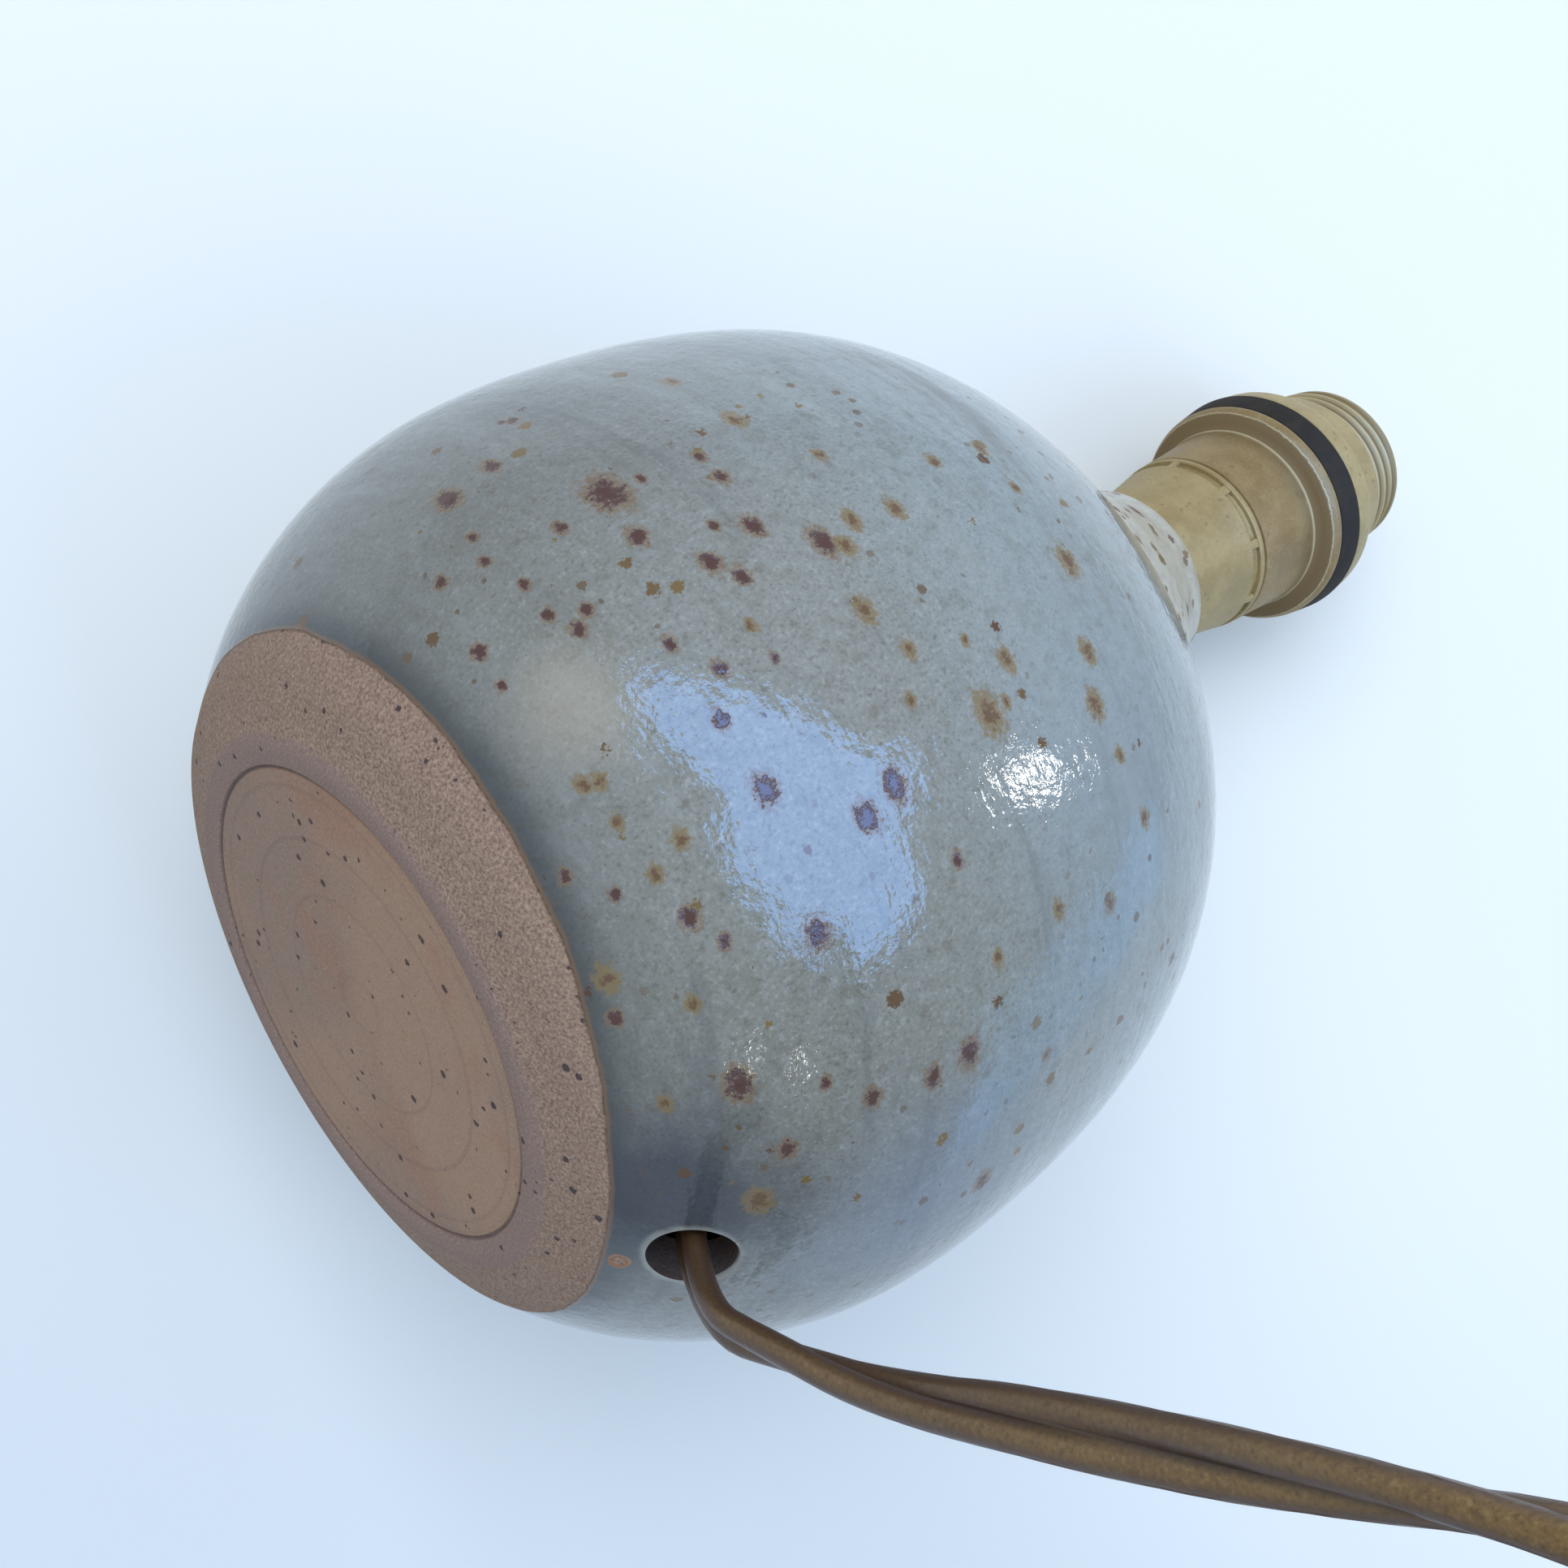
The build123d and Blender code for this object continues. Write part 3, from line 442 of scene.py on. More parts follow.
# %% Shape of the stoneware
outside = flowing([
    (39.5, 2.45), (46.35, 8.78), (51.96, 16.12), (56.16, 24.28), (58.79, 32.98), (59.88, 41.85),
    (59.95, 50.58), (59.54, 59.15), (58.54, 67.67), (56.65, 76.16), (53.59, 84.41), (49.21, 92.14),
    (43.64, 99.18), (37.05, 105.36), (33.0, 108.26), (29.64, 110.59), (26.88, 113.2), (24.66, 117.91),
    (22.5, 122.96), (20.25, 127.9), (17.94, 132.0), (15.9, 135.9), (15.12, 138.1),
], 4)
foot = [
    (0, 0.25), (14, 0.25), (28.3, 0.25), (28.7, 0.27), (28.85, 0.42), (29.0, 0.48), (29.15, 0.42),
    (29.3, 0.12), (29.6, 0.02), (31, 0), (32.2, 0.02), (32.7, 0.35), (36, 1.37),
]
rim = [(14.8, 139.4), (14.35, 140.05), (13.6, 140.2), (12.2, 140.2), (11.45, 140.0), (11.1, 139.4)]
cavity = [
    (10.9, 137.0), (11.9, 133.9), (13.9, 130.0), (16.2, 126.0), (18.3, 121.4), (20.2, 117.0),
    (22.8, 111.6), (26.6, 107.3), (34.3, 101.9), (40.5, 96.1), (45.6, 89.8), (49.6, 82.7),
    (52.4, 75.0), (54.2, 67.0), (55.2, 58.9), (55.6, 50.5), (55.5, 42.3), (54.5, 33.8),
    (52.0, 25.8), (48.1, 18.3), (43.5, 12.5), (36.5, 8.0), (24, 6.6), (0, 6.5),
]
stoneware = turned("stoneware_body", foot + outside + rim + flowing(cavity, 2), 224)

# %% Cable hole
hole_at = Vector((0, 46.37, 8.8)) * MM
hole_way = Vector((0, 0.79477, -0.60691))
flare = [(4.75, -0.35), (4.85, -0.05), (5.1, 0.2), (5.6, 0.42), (6.6, 0.8)]
cutter = turned("hole_cutter", [(0, -14), (4.75, -14), *flare, (6.6, 4), (0, 4)], 64)
cutter.matrix_world = facing_along(hole_at, hole_way)
cut = stoneware.modifiers.new("hole", "BOOLEAN")
cut.operation = "DIFFERENCE"
cut.object = cutter
apply_all(stoneware)
pick(cutter)
bpy.ops.object.delete()
pick(stoneware)
bpy.ops.object.shade_smooth_by_angle(angle=math.radians(50))
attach(stoneware, "base")
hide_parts("ceramic_body")
print("stoneware faces", len(stoneware.data.polygons))

# %% [markdown]
# ### Where the spots are
# Each spot is a place on the wall and a size. One group measures how near a point is to the
# closest of them, in sizes, so a value below one is inside a spot. Flattening the distance
# along the axis makes the spots run a little round the pot, as the wheel smeared them.

# %% Spots that the photograph shows
dark_spots = [
    (58.1, -1.5, 30.2, 2.1), (52.4, -15.2, 20.8, 1.4), (54.8, -14.9, 26.0, 1.0), (56.1, -1.4, 24.3, 0.7),
    (57.5, 5.1, 28.7, 1.0), (57.3, 12.2, 32.2, 1.1), (56.9, 15.2, 33.8, 0.9), (58.6, 11.2, 38.7, 1.1),
    (57.7, 16.3, 43.9, 1.4), (48.7, 2.6, 11.6, 0.8), (50.2, 24.5, 23.6, 0.9), (46.3, 31.3, 23.8, 1.3),
    (45.6, 37.7, 35.3, 1.4), (44.1, 38.2, 31.2, 1.3), (36.4, 41.8, 22.7, 1.2), (22.2, 54.8, 34.9, 1.3),
    (21.2, 54.2, 30.5, 1.0), (23.2, 44.0, 13.0, 1.4), (16.0, 49.3, 16.0, 0.9), (2.8, 59.5, 38.2, 1.2),
    (37.2, 33.7, 13.5, 0.9), (-31.0, -48.5, 40.0, 1.6), (12.0, -57.2, 52.0, 1.2), (-55.0, 12.0, 30.0, 1.4),
    (-46.0, 33.0, 62.0, 1.3), (-20.0, 55.0, 47.0, 1.5), (59.0, -0.6, 33.9, 0.6), (52.8, -8.2, 18.7, 0.6),
    (52.6, -4.6, 17.5, 0.6), (49.9, -6.8, 13.9, 0.7), (55.2, -20.1, 32.8, 0.7), (54.7, -21.1, 32.1, 0.5),
    (53.1, 0.9, 18.1, 0.6), (52.6, 5.4, 17.6, 0.7), (53.7, 7.9, 20.2, 0.7), (52.7, 8.8, 18.6, 0.8),
    (47.8, 7.0, 11.0, 0.5), (53.6, 16.2, 23.9, 0.7), (52.8, 21.1, 26.2, 0.8), (59.8, 0.4, 40.9, 0.7),
    (59.6, 4.3, 40.6, 0.8), (58.5, 9.0, 35.4, 0.6), (23.1, 49.0, 20.0, 0.6), (20.9, 52.0, 24.0, 0.9),
    (27.6, 33.4, 5.8, 0.7), (35.7, 37.0, 15.3, 0.6), (39.3, 44.8, 38.6, 0.7), (53.5, 23.3, 31.2, 0.5),
    (37.7, 27.7, 9.3, 0.5), (37.8, 23.3, 6.8, 0.6),
    (16.8, 1.5, 134.0, 0.95), (20.9, 2.6, 126.1, 0.6), (9.1, 15.8, 131.5, 0.65), (11.4, 18.3, 125.0, 0.8),
]
rust_spots = [
    (47.1, 37.1, 49.6, 1.7), (49.3, 33.8, 55.2, 1.0), (43.1, 40.2, 64.6, 1.3), (50.6, 27.4, 72.5, 1.4),
    (32.2, 49.1, 66.8, 0.9), (57.6, 16.2, 54.7, 1.0), (30.9, 31.2, 6.3, 1.0), (30.3, 38.0, 11.4, 0.7),
    (9.4, 49.3, 13.5, 1.3), (-40.0, -40.0, 70.0, 1.5), (-52.0, -20.0, 22.0, 1.1), (30.0, -50.0, 60.0, 1.3),
    (59.9, -2.6, 48.7, 1.1), (58.5, -13.3, 49.5, 0.9), (58.0, 15.4, 48.9, 1.0), (57.3, 17.7, 45.9, 1.0),
    (54.8, 24.1, 42.6, 1.1), (52.4, 29.1, 44.5, 0.8), (46.2, 36.0, 67.2, 1.1), (56.0, 12.2, 73.4, 0.9),
    (57.6, 12.4, 64.8, 0.8), (50.0, 32.9, 41.5, 0.6), (44.9, 20.5, 12.5, 0.7), (44.4, 19.6, 11.3, 0.7),
    (42.7, 24.0, 12.0, 0.6), (42.6, 29.2, 15.6, 0.8), (39.8, 29.4, 12.6, 0.7), (30.1, 51.6, 40.2, 0.7),
    (30.8, 51.4, 49.8, 0.8), (27.7, 52.8, 58.0, 0.9), (47.2, 36.9, 52.4, 0.6), (38.6, 44.4, 65.5, 0.7),
    (55.0, 19.6, 31.2, 0.6), (51.4, 30.8, 51.5, 0.6), (59.5, 6.7, 52.5, 0.7), (54.5, 18.1, 73.0, 0.7),
    (16.4, 57.7, 45.9, 0.7), (18.9, 31.6, 2.5, 0.5), (20.4, 40.2, 7.4, 0.7),
    (20.3, 4.0, 126.9, 0.45), (16.5, 6.3, 132.5, 0.75), (20.4, 8.7, 123.7, 0.6), (18.2, 9.7, 127.1, 0.65),
    (14.3, 17.0, 123.5, 0.4),
]
squeeze = 1.4
spread = 1.15


def spots_group(name, spots):
    """Group whose output is the distance to the nearest spot, in sizes of that spot."""
    tree, start, end = group(name, {"Ragged": 0.5}, ["Distance"])
    here = object_place(tree)
    squeezed = vector_of(tree, "MULTIPLY", here, (1, 1, squeeze))
    nearest = None
    for x, y, z, size in spots:
        centre = (x * MM, y * MM, z * MM * squeeze)
        away = sum_of(tree, "DIVIDE", measure_of(tree, "DISTANCE", squeezed, centre), size * MM * spread)
        nearest = away if nearest is None else sum_of(tree, "MINIMUM", nearest, away)
    rough = sum_of(tree, "SUBTRACT", noise(tree, here, 1500.0, 4.0, 0.75), 0.5)
    torn = sum_of(tree, "MULTIPLY_ADD", rough, start.outputs["Ragged"], nearest)
    tree.links.new(torn, end.inputs["Distance"])
    return tree


dark_group = spots_group("dark_spots", dark_spots)
rust_group = spots_group("rust_spots", rust_spots)
print("spots", len(dark_spots), len(rust_spots))

# %% [markdown]
# ### Glaze and bare clay
# One material carries both, because they share the pot. The height above the tilted glaze line
# decides which is which. The glaze is darker where it is thick, next to the foot and round the
# hole, and turns to warm off-white on the thin neck. Faint streaks run round the pot with the
# marks of the wheel. Clay is rough, and glaze is glossy with the fine pits of an orange's skin.

# %% Places on the pot
pot_finish, pot, shader = finish("glazed_stoneware", tint(150, 158, 164), 0.2, IOR=1.5)
here = object_place(pot)
axes = axes_of(pot, here)
flat_place = add(pot, "ShaderNodeCombineXYZ", {0: axes[0], 1: axes[1]}).outputs[0]
radius = measure_of(pot, "LENGTH", flat_place)
around = vector_of(pot, "NORMALIZE", flat_place)
tilted = sum_of(pot, "MULTIPLY_ADD", axes[0], -0.06, axes[2])
high = add(pot, "ShaderNodeCombineXYZ", {2: sum_of(pot, "MULTIPLY", tilted, 170.0)}).outputs[0]
wheel_place = vector_of(pot, "MULTIPLY_ADD", around, (1.5, 1.5, 1.5), high)
line = sum_of(pot, "MULTIPLY_ADD", axes[0], 0.07415, 0.00247)
line = sum_of(pot, "MULTIPLY_ADD", axes[1], -0.01231, line)
line = sum_of(pot, "SMOOTH_MAX", line, 0.0027, 0.0008)
wobble = sum_of(pot, "MULTIPLY_ADD", noise(pot, here, 160.0, 2.0), 0.0007, -0.00035)
above = sum_of(pot, "ADD", sum_of(pot, "SUBTRACT", axes[2], line), wobble)
from_hole = vector_of(pot, "SUBTRACT", here, tuple(hole_at))
hole_far = measure_of(pot, "LENGTH", vector_of(pot, "CROSS_PRODUCT", from_hole, tuple(hole_way)))
groove_r = 29.0 * MM
neck_line = 121.2 * MM

# %% Colours of the glaze
streak = noise(pot, wheel_place, 1.0, 4.0, 0.6)
cloud = noise(pot, here, 22.0, 3.0, 0.55)
fine = effect(pot, grain_group, Scale=420.0, Contrast=1.0).outputs[0]
# Towards the foot the glaze is greyer and a little darker: partly its own tone, partly painted shade.
tone_and_shade_by_height = step_up(pot, sum_of(pot, "MULTIPLY_ADD", cloud, 0.05, axes[2]), 0.05, 0.095)
glaze = blend(pot, tone_and_shade_by_height, tint(139, 144, 144), tint(144, 158, 166))
glaze = blend(pot, step_up(pot, cloud, 0.4, 0.66, 0.0, 0.6), glaze, tint(131, 134, 128))
mottle = effect(pot, grain_group, Scale=900.0, Contrast=1.2).outputs[0]
glaze = blend(pot, step_up(pot, mottle, 0.54, 0.85, 0.0, 0.55), glaze, tint(98, 98, 88))
glaze = blend(pot, step_up(pot, mottle, 0.46, 0.2, 0.0, 0.45), glaze, tint(166, 174, 178))
sandy = effect(pot, grain_group, Scale=2300.0, Contrast=2.6).outputs[0]
coarse = step_up(pot, sum_of(pot, "MULTIPLY_ADD", cloud, 0.06, axes[2]), 0.06, 0.12, 0.5, 0.16)
dark_sand = sum_of(pot, "MULTIPLY", step_up(pot, sandy, 0.54, 1.1), coarse)
glaze = blend(pot, dark_sand, glaze, tint(84, 80, 70))
pale_sand = sum_of(pot, "MULTIPLY", step_up(pot, sandy, 0.42, -0.1), sum_of(pot, "MULTIPLY", coarse, 0.8))
glaze = blend(pot, pale_sand, glaze, tint(184, 188, 188))
# Painted shade: the glaze darkens towards one side of the pot, away from the light.
painted_shade_side = measure_of(pot, "DOT_PRODUCT", here, (0.45, -0.86, -0.24))
painted_shade_side = sum_of(pot, "MULTIPLY_ADD", streak, 0.03, painted_shade_side)
glaze = blend(pot, step_up(pot, painted_shade_side, 0.014, 0.06, 0.0, 0.55), glaze, tint(106, 108, 106))
glaze = blend(pot, step_up(pot, streak, 0.55, 0.72, 0.0, 0.6), glaze, tint(98, 104, 108))
glaze = blend(pot, step_up(pot, streak, 0.45, 0.22, 0.0, 0.5), glaze, tint(152, 160, 163))
glaze = blend(pot, step_up(pot, fine, 0.45, 0.75, 0.0, 0.35), glaze, tint(108, 108, 96))

# %% Patches, thick edge, neck and hole
def patch(colour, at, inner, outer, share, patch_colour, pattern, ragged):
    """The glaze with a soft patch of another colour round a place, its edge moved by a pattern."""
    far = sum_of(pot, "MULTIPLY_ADD", pattern, ragged, measure_of(pot, "DISTANCE", here, at))
    return blend(pot, step_up(pot, far, inner, outer, share, 0.0), colour, patch_colour)


glaze = patch(glaze, (0.0486, 0.0135, 0.0139), 0.006, 0.014, 0.4, tint(184, 176, 162), cloud, 0.008)
# Two soft bluish patches: partly the glaze's own blue, partly painted reflection of the sky.
glaze = patch(glaze, (0.0348, 0.0489, 0.068), 0.012, 0.04, 0.36, tint(148, 170, 192), cloud, 0.02)
glaze = patch(glaze, (0.004, 0.0575, 0.03), 0.016, 0.036, 0.4, tint(128, 146, 176), cloud, 0.02)
low_part = step_up(pot, sum_of(pot, "MULTIPLY_ADD", cloud, 0.012, above), 0.004, 0.016, 0.55, 0.0)
glaze = blend(pot, low_part, glaze, tint(84, 86, 86))
thick = step_up(pot, sum_of(pot, "MULTIPLY_ADD", cloud, 0.004, above), 0.0022, 0.0052, 0.7, 0.0)
glaze = blend(pot, thick, glaze, tint(58, 64, 68))
soft_noise = noise(pot, here, 90.0, 2.0)
glaze = patch(glaze, (0.010, 0.0445, 0.0075), 0.008, 0.022, 0.8, tint(50, 60, 76), soft_noise, 0.01)
neck_height = sum_of(pot, "MULTIPLY_ADD", noise(pot, here, 190.0, 3.0), 0.0012, axes[2])
neck = step_up(pot, neck_height, neck_line - 0.0004, neck_line + 0.0004)
# Painted shade: the glaze darkens up the shoulder into the hollow below the neck.
glaze = blend(pot, step_up(pot, axes[2], 0.108, 0.12, 0.0, 0.55), glaze, tint(128, 130, 126))
neck_skin = blend(pot, step_up(pot, fine, 0.4, 0.7), tint(180, 180, 171), tint(165, 163, 154))
glaze = blend(pot, neck, glaze, neck_skin)
# Painted shade: a thin dark line where the shoulder meets the neck.
neck_shade_line = step_up(pot, apart(pot, neck_height, neck_line), 0.0003, 0.0009, 0.9, 0.0)
glaze = blend(pot, neck_shade_line, glaze, tint(62, 58, 56))
hole_edge = sum_of(pot, "MULTIPLY_ADD", noise(pot, here, 420.0, 3.0), 0.0012, hole_far)
hole_edge = step_up(pot, hole_edge, 0.0055, 0.0063, 0.75, 0.0)
hole_edge = sum_of(pot, "MULTIPLY", hole_edge, sum_of(pot, "GREATER_THAN", axes[1], 0.0))
glaze = blend(pot, hole_edge, glaze, tint(160, 162, 158))

# %% Spots and specks in the glaze
dark_far = effect(pot, dark_group, Ragged=3.0).outputs[0]
rust_far = effect(pot, rust_group, Ragged=3.4).outputs[0]
glaze = blend(pot, step_up(pot, dark_far, 1.0, 1.75, 0.8, 0.0), glaze, tint(126, 104, 78))
glaze = blend(pot, step_up(pot, dark_far, 0.75, 1.05, 0.95, 0.0), glaze, tint(82, 54, 50))
glaze = blend(pot, step_up(pot, rust_far, 0.95, 1.75, 0.8, 0.0), glaze, tint(130, 112, 76))
glaze = blend(pot, step_up(pot, rust_far, 0.35, 0.8, 0.75, 0.0), glaze, tint(96, 66, 50))
middle_specks = effect(pot, specks_group, Scale=230.0, Size=0.27, Ragged=0.3)
small_specks = effect(pot, specks_group, Scale=420.0, Size=0.3, Ragged=0.3)
speck_colour = blend(pot, middle_specks.outputs["Shade"], tint(86, 60, 48), tint(126, 108, 70))
glaze = blend(pot, middle_specks.outputs["Mask"], glaze, speck_colour)
neck_specks = effect(pot, specks_group, Scale=420.0, Size=0.4, Ragged=0.5)
neck_mask = sum_of(pot, "MULTIPLY", neck_specks.outputs["Mask"], sum_of(pot, "MULTIPLY", neck, 0.95))
neck_speck = blend(pot, neck_specks.outputs["Shade"], tint(106, 84, 78), tint(136, 112, 84))
glaze = blend(pot, neck_mask, glaze, neck_speck)
fewer = step_up(pot, noise(pot, here, 45.0, 2.0), 0.42, 0.6, 0.25, 0.9)
glaze = blend(pot, sum_of(pot, "MULTIPLY", small_specks.outputs["Mask"], fewer), glaze, tint(104, 88, 70))

# %% Colours of the bare clay
sand = effect(pot, grain_group, Scale=2900.0, Contrast=2.3).outputs[0]
sand_mask = sum_of(pot, "MINIMUM", sum_of(pot, "MAXIMUM", sand, 0.0), 1.0)
clay = blend(pot, sand_mask, tint(119, 92, 76), tint(193, 165, 142))
centre = blend(pot, step_up(pot, cloud, 0.42, 0.62), tint(181, 147, 121), tint(163, 137, 119))
flush = step_up(pot, noise(pot, here, 55.0, 3.0), 0.5, 0.7, 0.0, 0.6)
centre = blend(pot, flush, centre, tint(176, 128, 100))
centre = blend(pot, step_up(pot, sand, 0.5, 0.95, 0.0, 0.45), centre, tint(196, 168, 144))
centre = blend(pot, step_up(pot, sand, 0.4, 0.0, 0.0, 0.4), centre, tint(120, 98, 88))
uneven_edge = sum_of(pot, "MULTIPLY_ADD", noise(pot, here, 130.0, 3.0), -0.0016, radius)
worn_ring = blend(pot, step_up(pot, sand, 0.3, 0.8), tint(148, 124, 113), tint(170, 143, 128))
clay = blend(pot, step_up(pot, uneven_edge, 0.0316, 0.0324), worn_ring, clay)
clay = blend(pot, step_up(pot, radius, groove_r - 0.0002, groove_r + 0.0001), centre, clay)
# Painted shade: a thin dark line in the small groove of the foot.
groove = step_up(pot, apart(pot, radius, groove_r), 0.0001, 0.0003, 0.5, 0.0)
clay = blend(pot, groove, clay, tint(76, 66, 64))
marks_place = add(pot, "ShaderNodeCombineXYZ", {0: sum_of(pot, "MULTIPLY", radius, 420.0)}).outputs[0]
wheel_marks = noise(pot, marks_place, 1.0, 3.0, 0.6)
inside_groove = step_up(pot, radius, groove_r - 0.001, groove_r - 0.0004, 1.0, 0.0)
inner_marks = sum_of(pot, "MULTIPLY", wheel_marks, inside_groove)
clay = blend(pot, step_up(pot, inner_marks, 0.55, 0.7, 0.0, 0.35), clay, tint(120, 100, 94))
clay_specks = effect(pot, specks_group, Scale=520.0, Size=0.29, Ragged=0.3)
clay = blend(pot, clay_specks.outputs["Mask"], clay, tint(82, 64, 58))

# %% Clay below the line, glaze above it
glazed = step_up(pot, above, -0.00005, 0.0001)
bare_spot = measure_of(pot, "DISTANCE", here, (-0.0026, 0.0411, 0.0038))
bare_spot = sum_of(pot, "MULTIPLY_ADD", noise(pot, here, 900.0, 2.0), 0.0006, bare_spot)
glazed = sum_of(pot, "MULTIPLY", glazed, step_up(pot, bare_spot, 0.0011, 0.0014))
rim_line = step_up(pot, apart(pot, above, 0.0001), 0.00008, 0.0003, 0.7, 0.0)
skin = blend(pot, glazed, clay, glaze)
skin = blend(pot, rim_line, skin, tint(122, 94, 68))
spot_rim = step_up(pot, apart(pot, bare_spot, 0.0013), 0.0001, 0.0004, 0.8, 0.0)
skin = blend(pot, spot_rim, skin, tint(166, 110, 62))
pot.links.new(skin, shader.inputs["Base Color"])
matt = step_up(pot, noise(pot, here, 240.0, 3.0), 0.4, 0.7, 0.035, 0.1)
gloss = between(pot, glazed, 0.82, matt)
gloss = between(pot, sum_of(pot, "MULTIPLY", neck, 0.6), gloss, 0.5)
pot.links.new(gloss, shader.inputs["Roughness"])

# %% Relief of glaze and clay
swell = sum_of(pot, "ADD", sum_of(pot, "MULTIPLY", streak, 0.6), noise(pot, here, 70.0, 2.0))
relief = bump(pot, shader, swell, 0.0003)
fine_pits = sum_of(pot, "MULTIPLY", noise(pot, here, 2100.0, 2.0), 0.16)
pits = sum_of(pot, "ADD", noise(pot, here, 760.0, 3.0, 0.5), fine_pits)
pits = sum_of(pot, "ADD", pits, sum_of(pot, "MULTIPLY", step_up(pot, dark_far, 0.5, 1.1, 1.0, 0.0), -0.5))
relief = bump(pot, shader, sum_of(pot, "MULTIPLY", pits, glazed), 0.00008, 1.0, relief)
clay_only = sum_of(pot, "SUBTRACT", 1.0, glazed)
relief = bump(pot, shader, sum_of(pot, "MULTIPLY", sand, clay_only), 0.00018, 1.0, relief)
relief = bump(pot, shader, sum_of(pot, "MULTIPLY", inner_marks, clay_only), 0.0002, 1.0, relief)
relief = bump(pot, shader, glazed, 0.00018, 1.0, relief)
stoneware.data.materials.clear()
stoneware.data.materials.append(pot_finish)
print("stoneware nodes", len(pot.nodes))

# %% [markdown]
# ## Inside of the pot
# The cavity and the bore of the cable hole are unglazed. Their faces are told from the others
# by their place: they lie well inside the outer wall, or close to the axis of the hole.

# %% Raw clay inside
# Painted shade: the clay inside is darker than the same clay on the foot.
raw_finish, tree, shader = finish("raw_clay", tint(74, 60, 52), 0.9)
raw_grain = effect(tree, grain_group, Scale=1500.0, Contrast=1.4).outputs[0]
tree.links.new(blend(tree, raw_grain, tint(60, 49, 43), tint(88, 72, 62)), shader.inputs["Base Color"])
bump(tree, shader, raw_grain, 0.0002)
stoneware.data.materials.append(raw_finish)


def wall_radius(height):
    """Radius of the pot's outer wall at a height, in mm."""
    for (r0, z0), (r1, z1) in zip(outside[:-1], outside[1:]):
        if z0 <= height <= z1:
            return r0 + (r1 - r0) * (height - z0) / (z1 - z0)
    return 15.0 if height > 100 else 39.5


cavity_low, cavity_high = 0.0062, 0.1398
bore_r = 4.8
inner_faces = 0
for face in stoneware.data.polygons:
    middle = face.center
    from_axis = (middle - hole_at).cross(hole_way).length / MM
    behind_wall = math.hypot(middle.x, middle.y) / MM < wall_radius(middle.z / MM) - 2.0
    in_cavity = behind_wall and cavity_low < middle.z < cavity_high
    in_bore = from_axis < bore_r and (middle - hole_at).dot(hole_way) < -0.0009 and middle.y > 0.03
    if in_cavity or in_bore:
        face.material_index = 1
        inner_faces += 1
print("raw faces", inner_faces)

# %% [markdown]
# ## The lampholder
# The holder is thin moulded plastic with a coat of dull gold paint. Its cap has a collar, a
# sunk band and nine small ribs, which fade out down the cap. The sleeve has a bell, a flange
# and a screw thread for the shade ring. Paint never reached the underside of the flange, so
# brown plastic shows there up to a ragged edge. Round parts come from the lathe.

# %% Worn places, painted shade and painted highlights of the sleeve
def sleeve_wear_and_painted_light(tree, here, paint, bare_low, bare_high):
    """The paint with painted shade and highlights on the bell and thread, the bare plastic, and the mask of
    that plastic.
    """
    height = axes_of(tree, here)[2]
    away = measure_of(tree, "LENGTH", vector_of(tree, "MULTIPLY", here, (1, 1, 0)))
    wide = step_up(tree, away, 0.01495, 0.0151)
    ragged = sum_of(tree, "MULTIPLY_ADD", noise(tree, here, 900.0, 4.0, 0.7), 0.0007, -0.00035)
    torn_height = sum_of(tree, "ADD", height, ragged)
    low = step_up(tree, height, bare_low - 0.00004, bare_low + 0.00004)
    high = step_up(tree, torn_height, bare_high - 0.00005, bare_high + 0.00005, 1.0, 0.0)
    plain = sum_of(tree, "MULTIPLY", sum_of(tree, "MULTIPLY", low, high), wide)

    bell_top = bare_low - 0.0006
    # Painted shade: the bell darkens just below the flange.
    painted_shade_under_flange = step_up(tree, height, bare_low - 0.0045, bell_top, 0.0, 0.45)
    painted_shade_under_flange = sum_of(tree, "MULTIPLY", painted_shade_under_flange, sum_of(tree, "LESS_THAN", height, bell_top))
    paint = blend(tree, painted_shade_under_flange, paint, tint(118, 104, 70))
    # Painted light: above the flange the barrel's paint is lighter, where the thread catches the light.
    upper = step_up(tree, height, bare_high + 0.001, bare_high + 0.002, 0.0, 0.65)
    paint = blend(tree, upper, paint, tint(176, 163, 124))

    # Painted shade in the valleys of the thread and painted highlight on its crests.
    above_flange = sum_of(tree, "GREATER_THAN", height, bare_high + 0.0018)
    turns = sum_of(tree, "MULTIPLY", above_flange, sum_of(tree, "LESS_THAN", away, 0.0141))
    valley_shade = sum_of(tree, "MULTIPLY", turns, step_up(tree, away, 0.0133, 0.01375, 0.75, 0.0))
    paint = blend(tree, valley_shade, paint, tint(112, 92, 58))
    crest_highlight = sum_of(tree, "MULTIPLY", turns, step_up(tree, away, 0.0138, 0.01396, 0.0, 0.6))
    paint = blend(tree, crest_highlight, paint, tint(206, 190, 148))

    # Painted highlight: a light line on the small bead below the flange.
    bead_highlight = step_up(tree, apart(tree, height, bare_low - 0.00022), 0.00014, 0.0003, 0.8, 0.0)
    paint = blend(tree, bead_highlight, paint, tint(204, 194, 160))
    paint = blend(tree, plain, paint, tint(128, 106, 68))
    # A thin light line along the ragged edge of the paint.
    paint_edge_line = step_up(tree, apart(tree, torn_height, bare_high + 0.00008), 0.00005, 0.00016, 0.7, 0.0)
    paint = blend(tree, sum_of(tree, "MULTIPLY", paint_edge_line, wide), paint, tint(188, 178, 146))
    return paint, plain


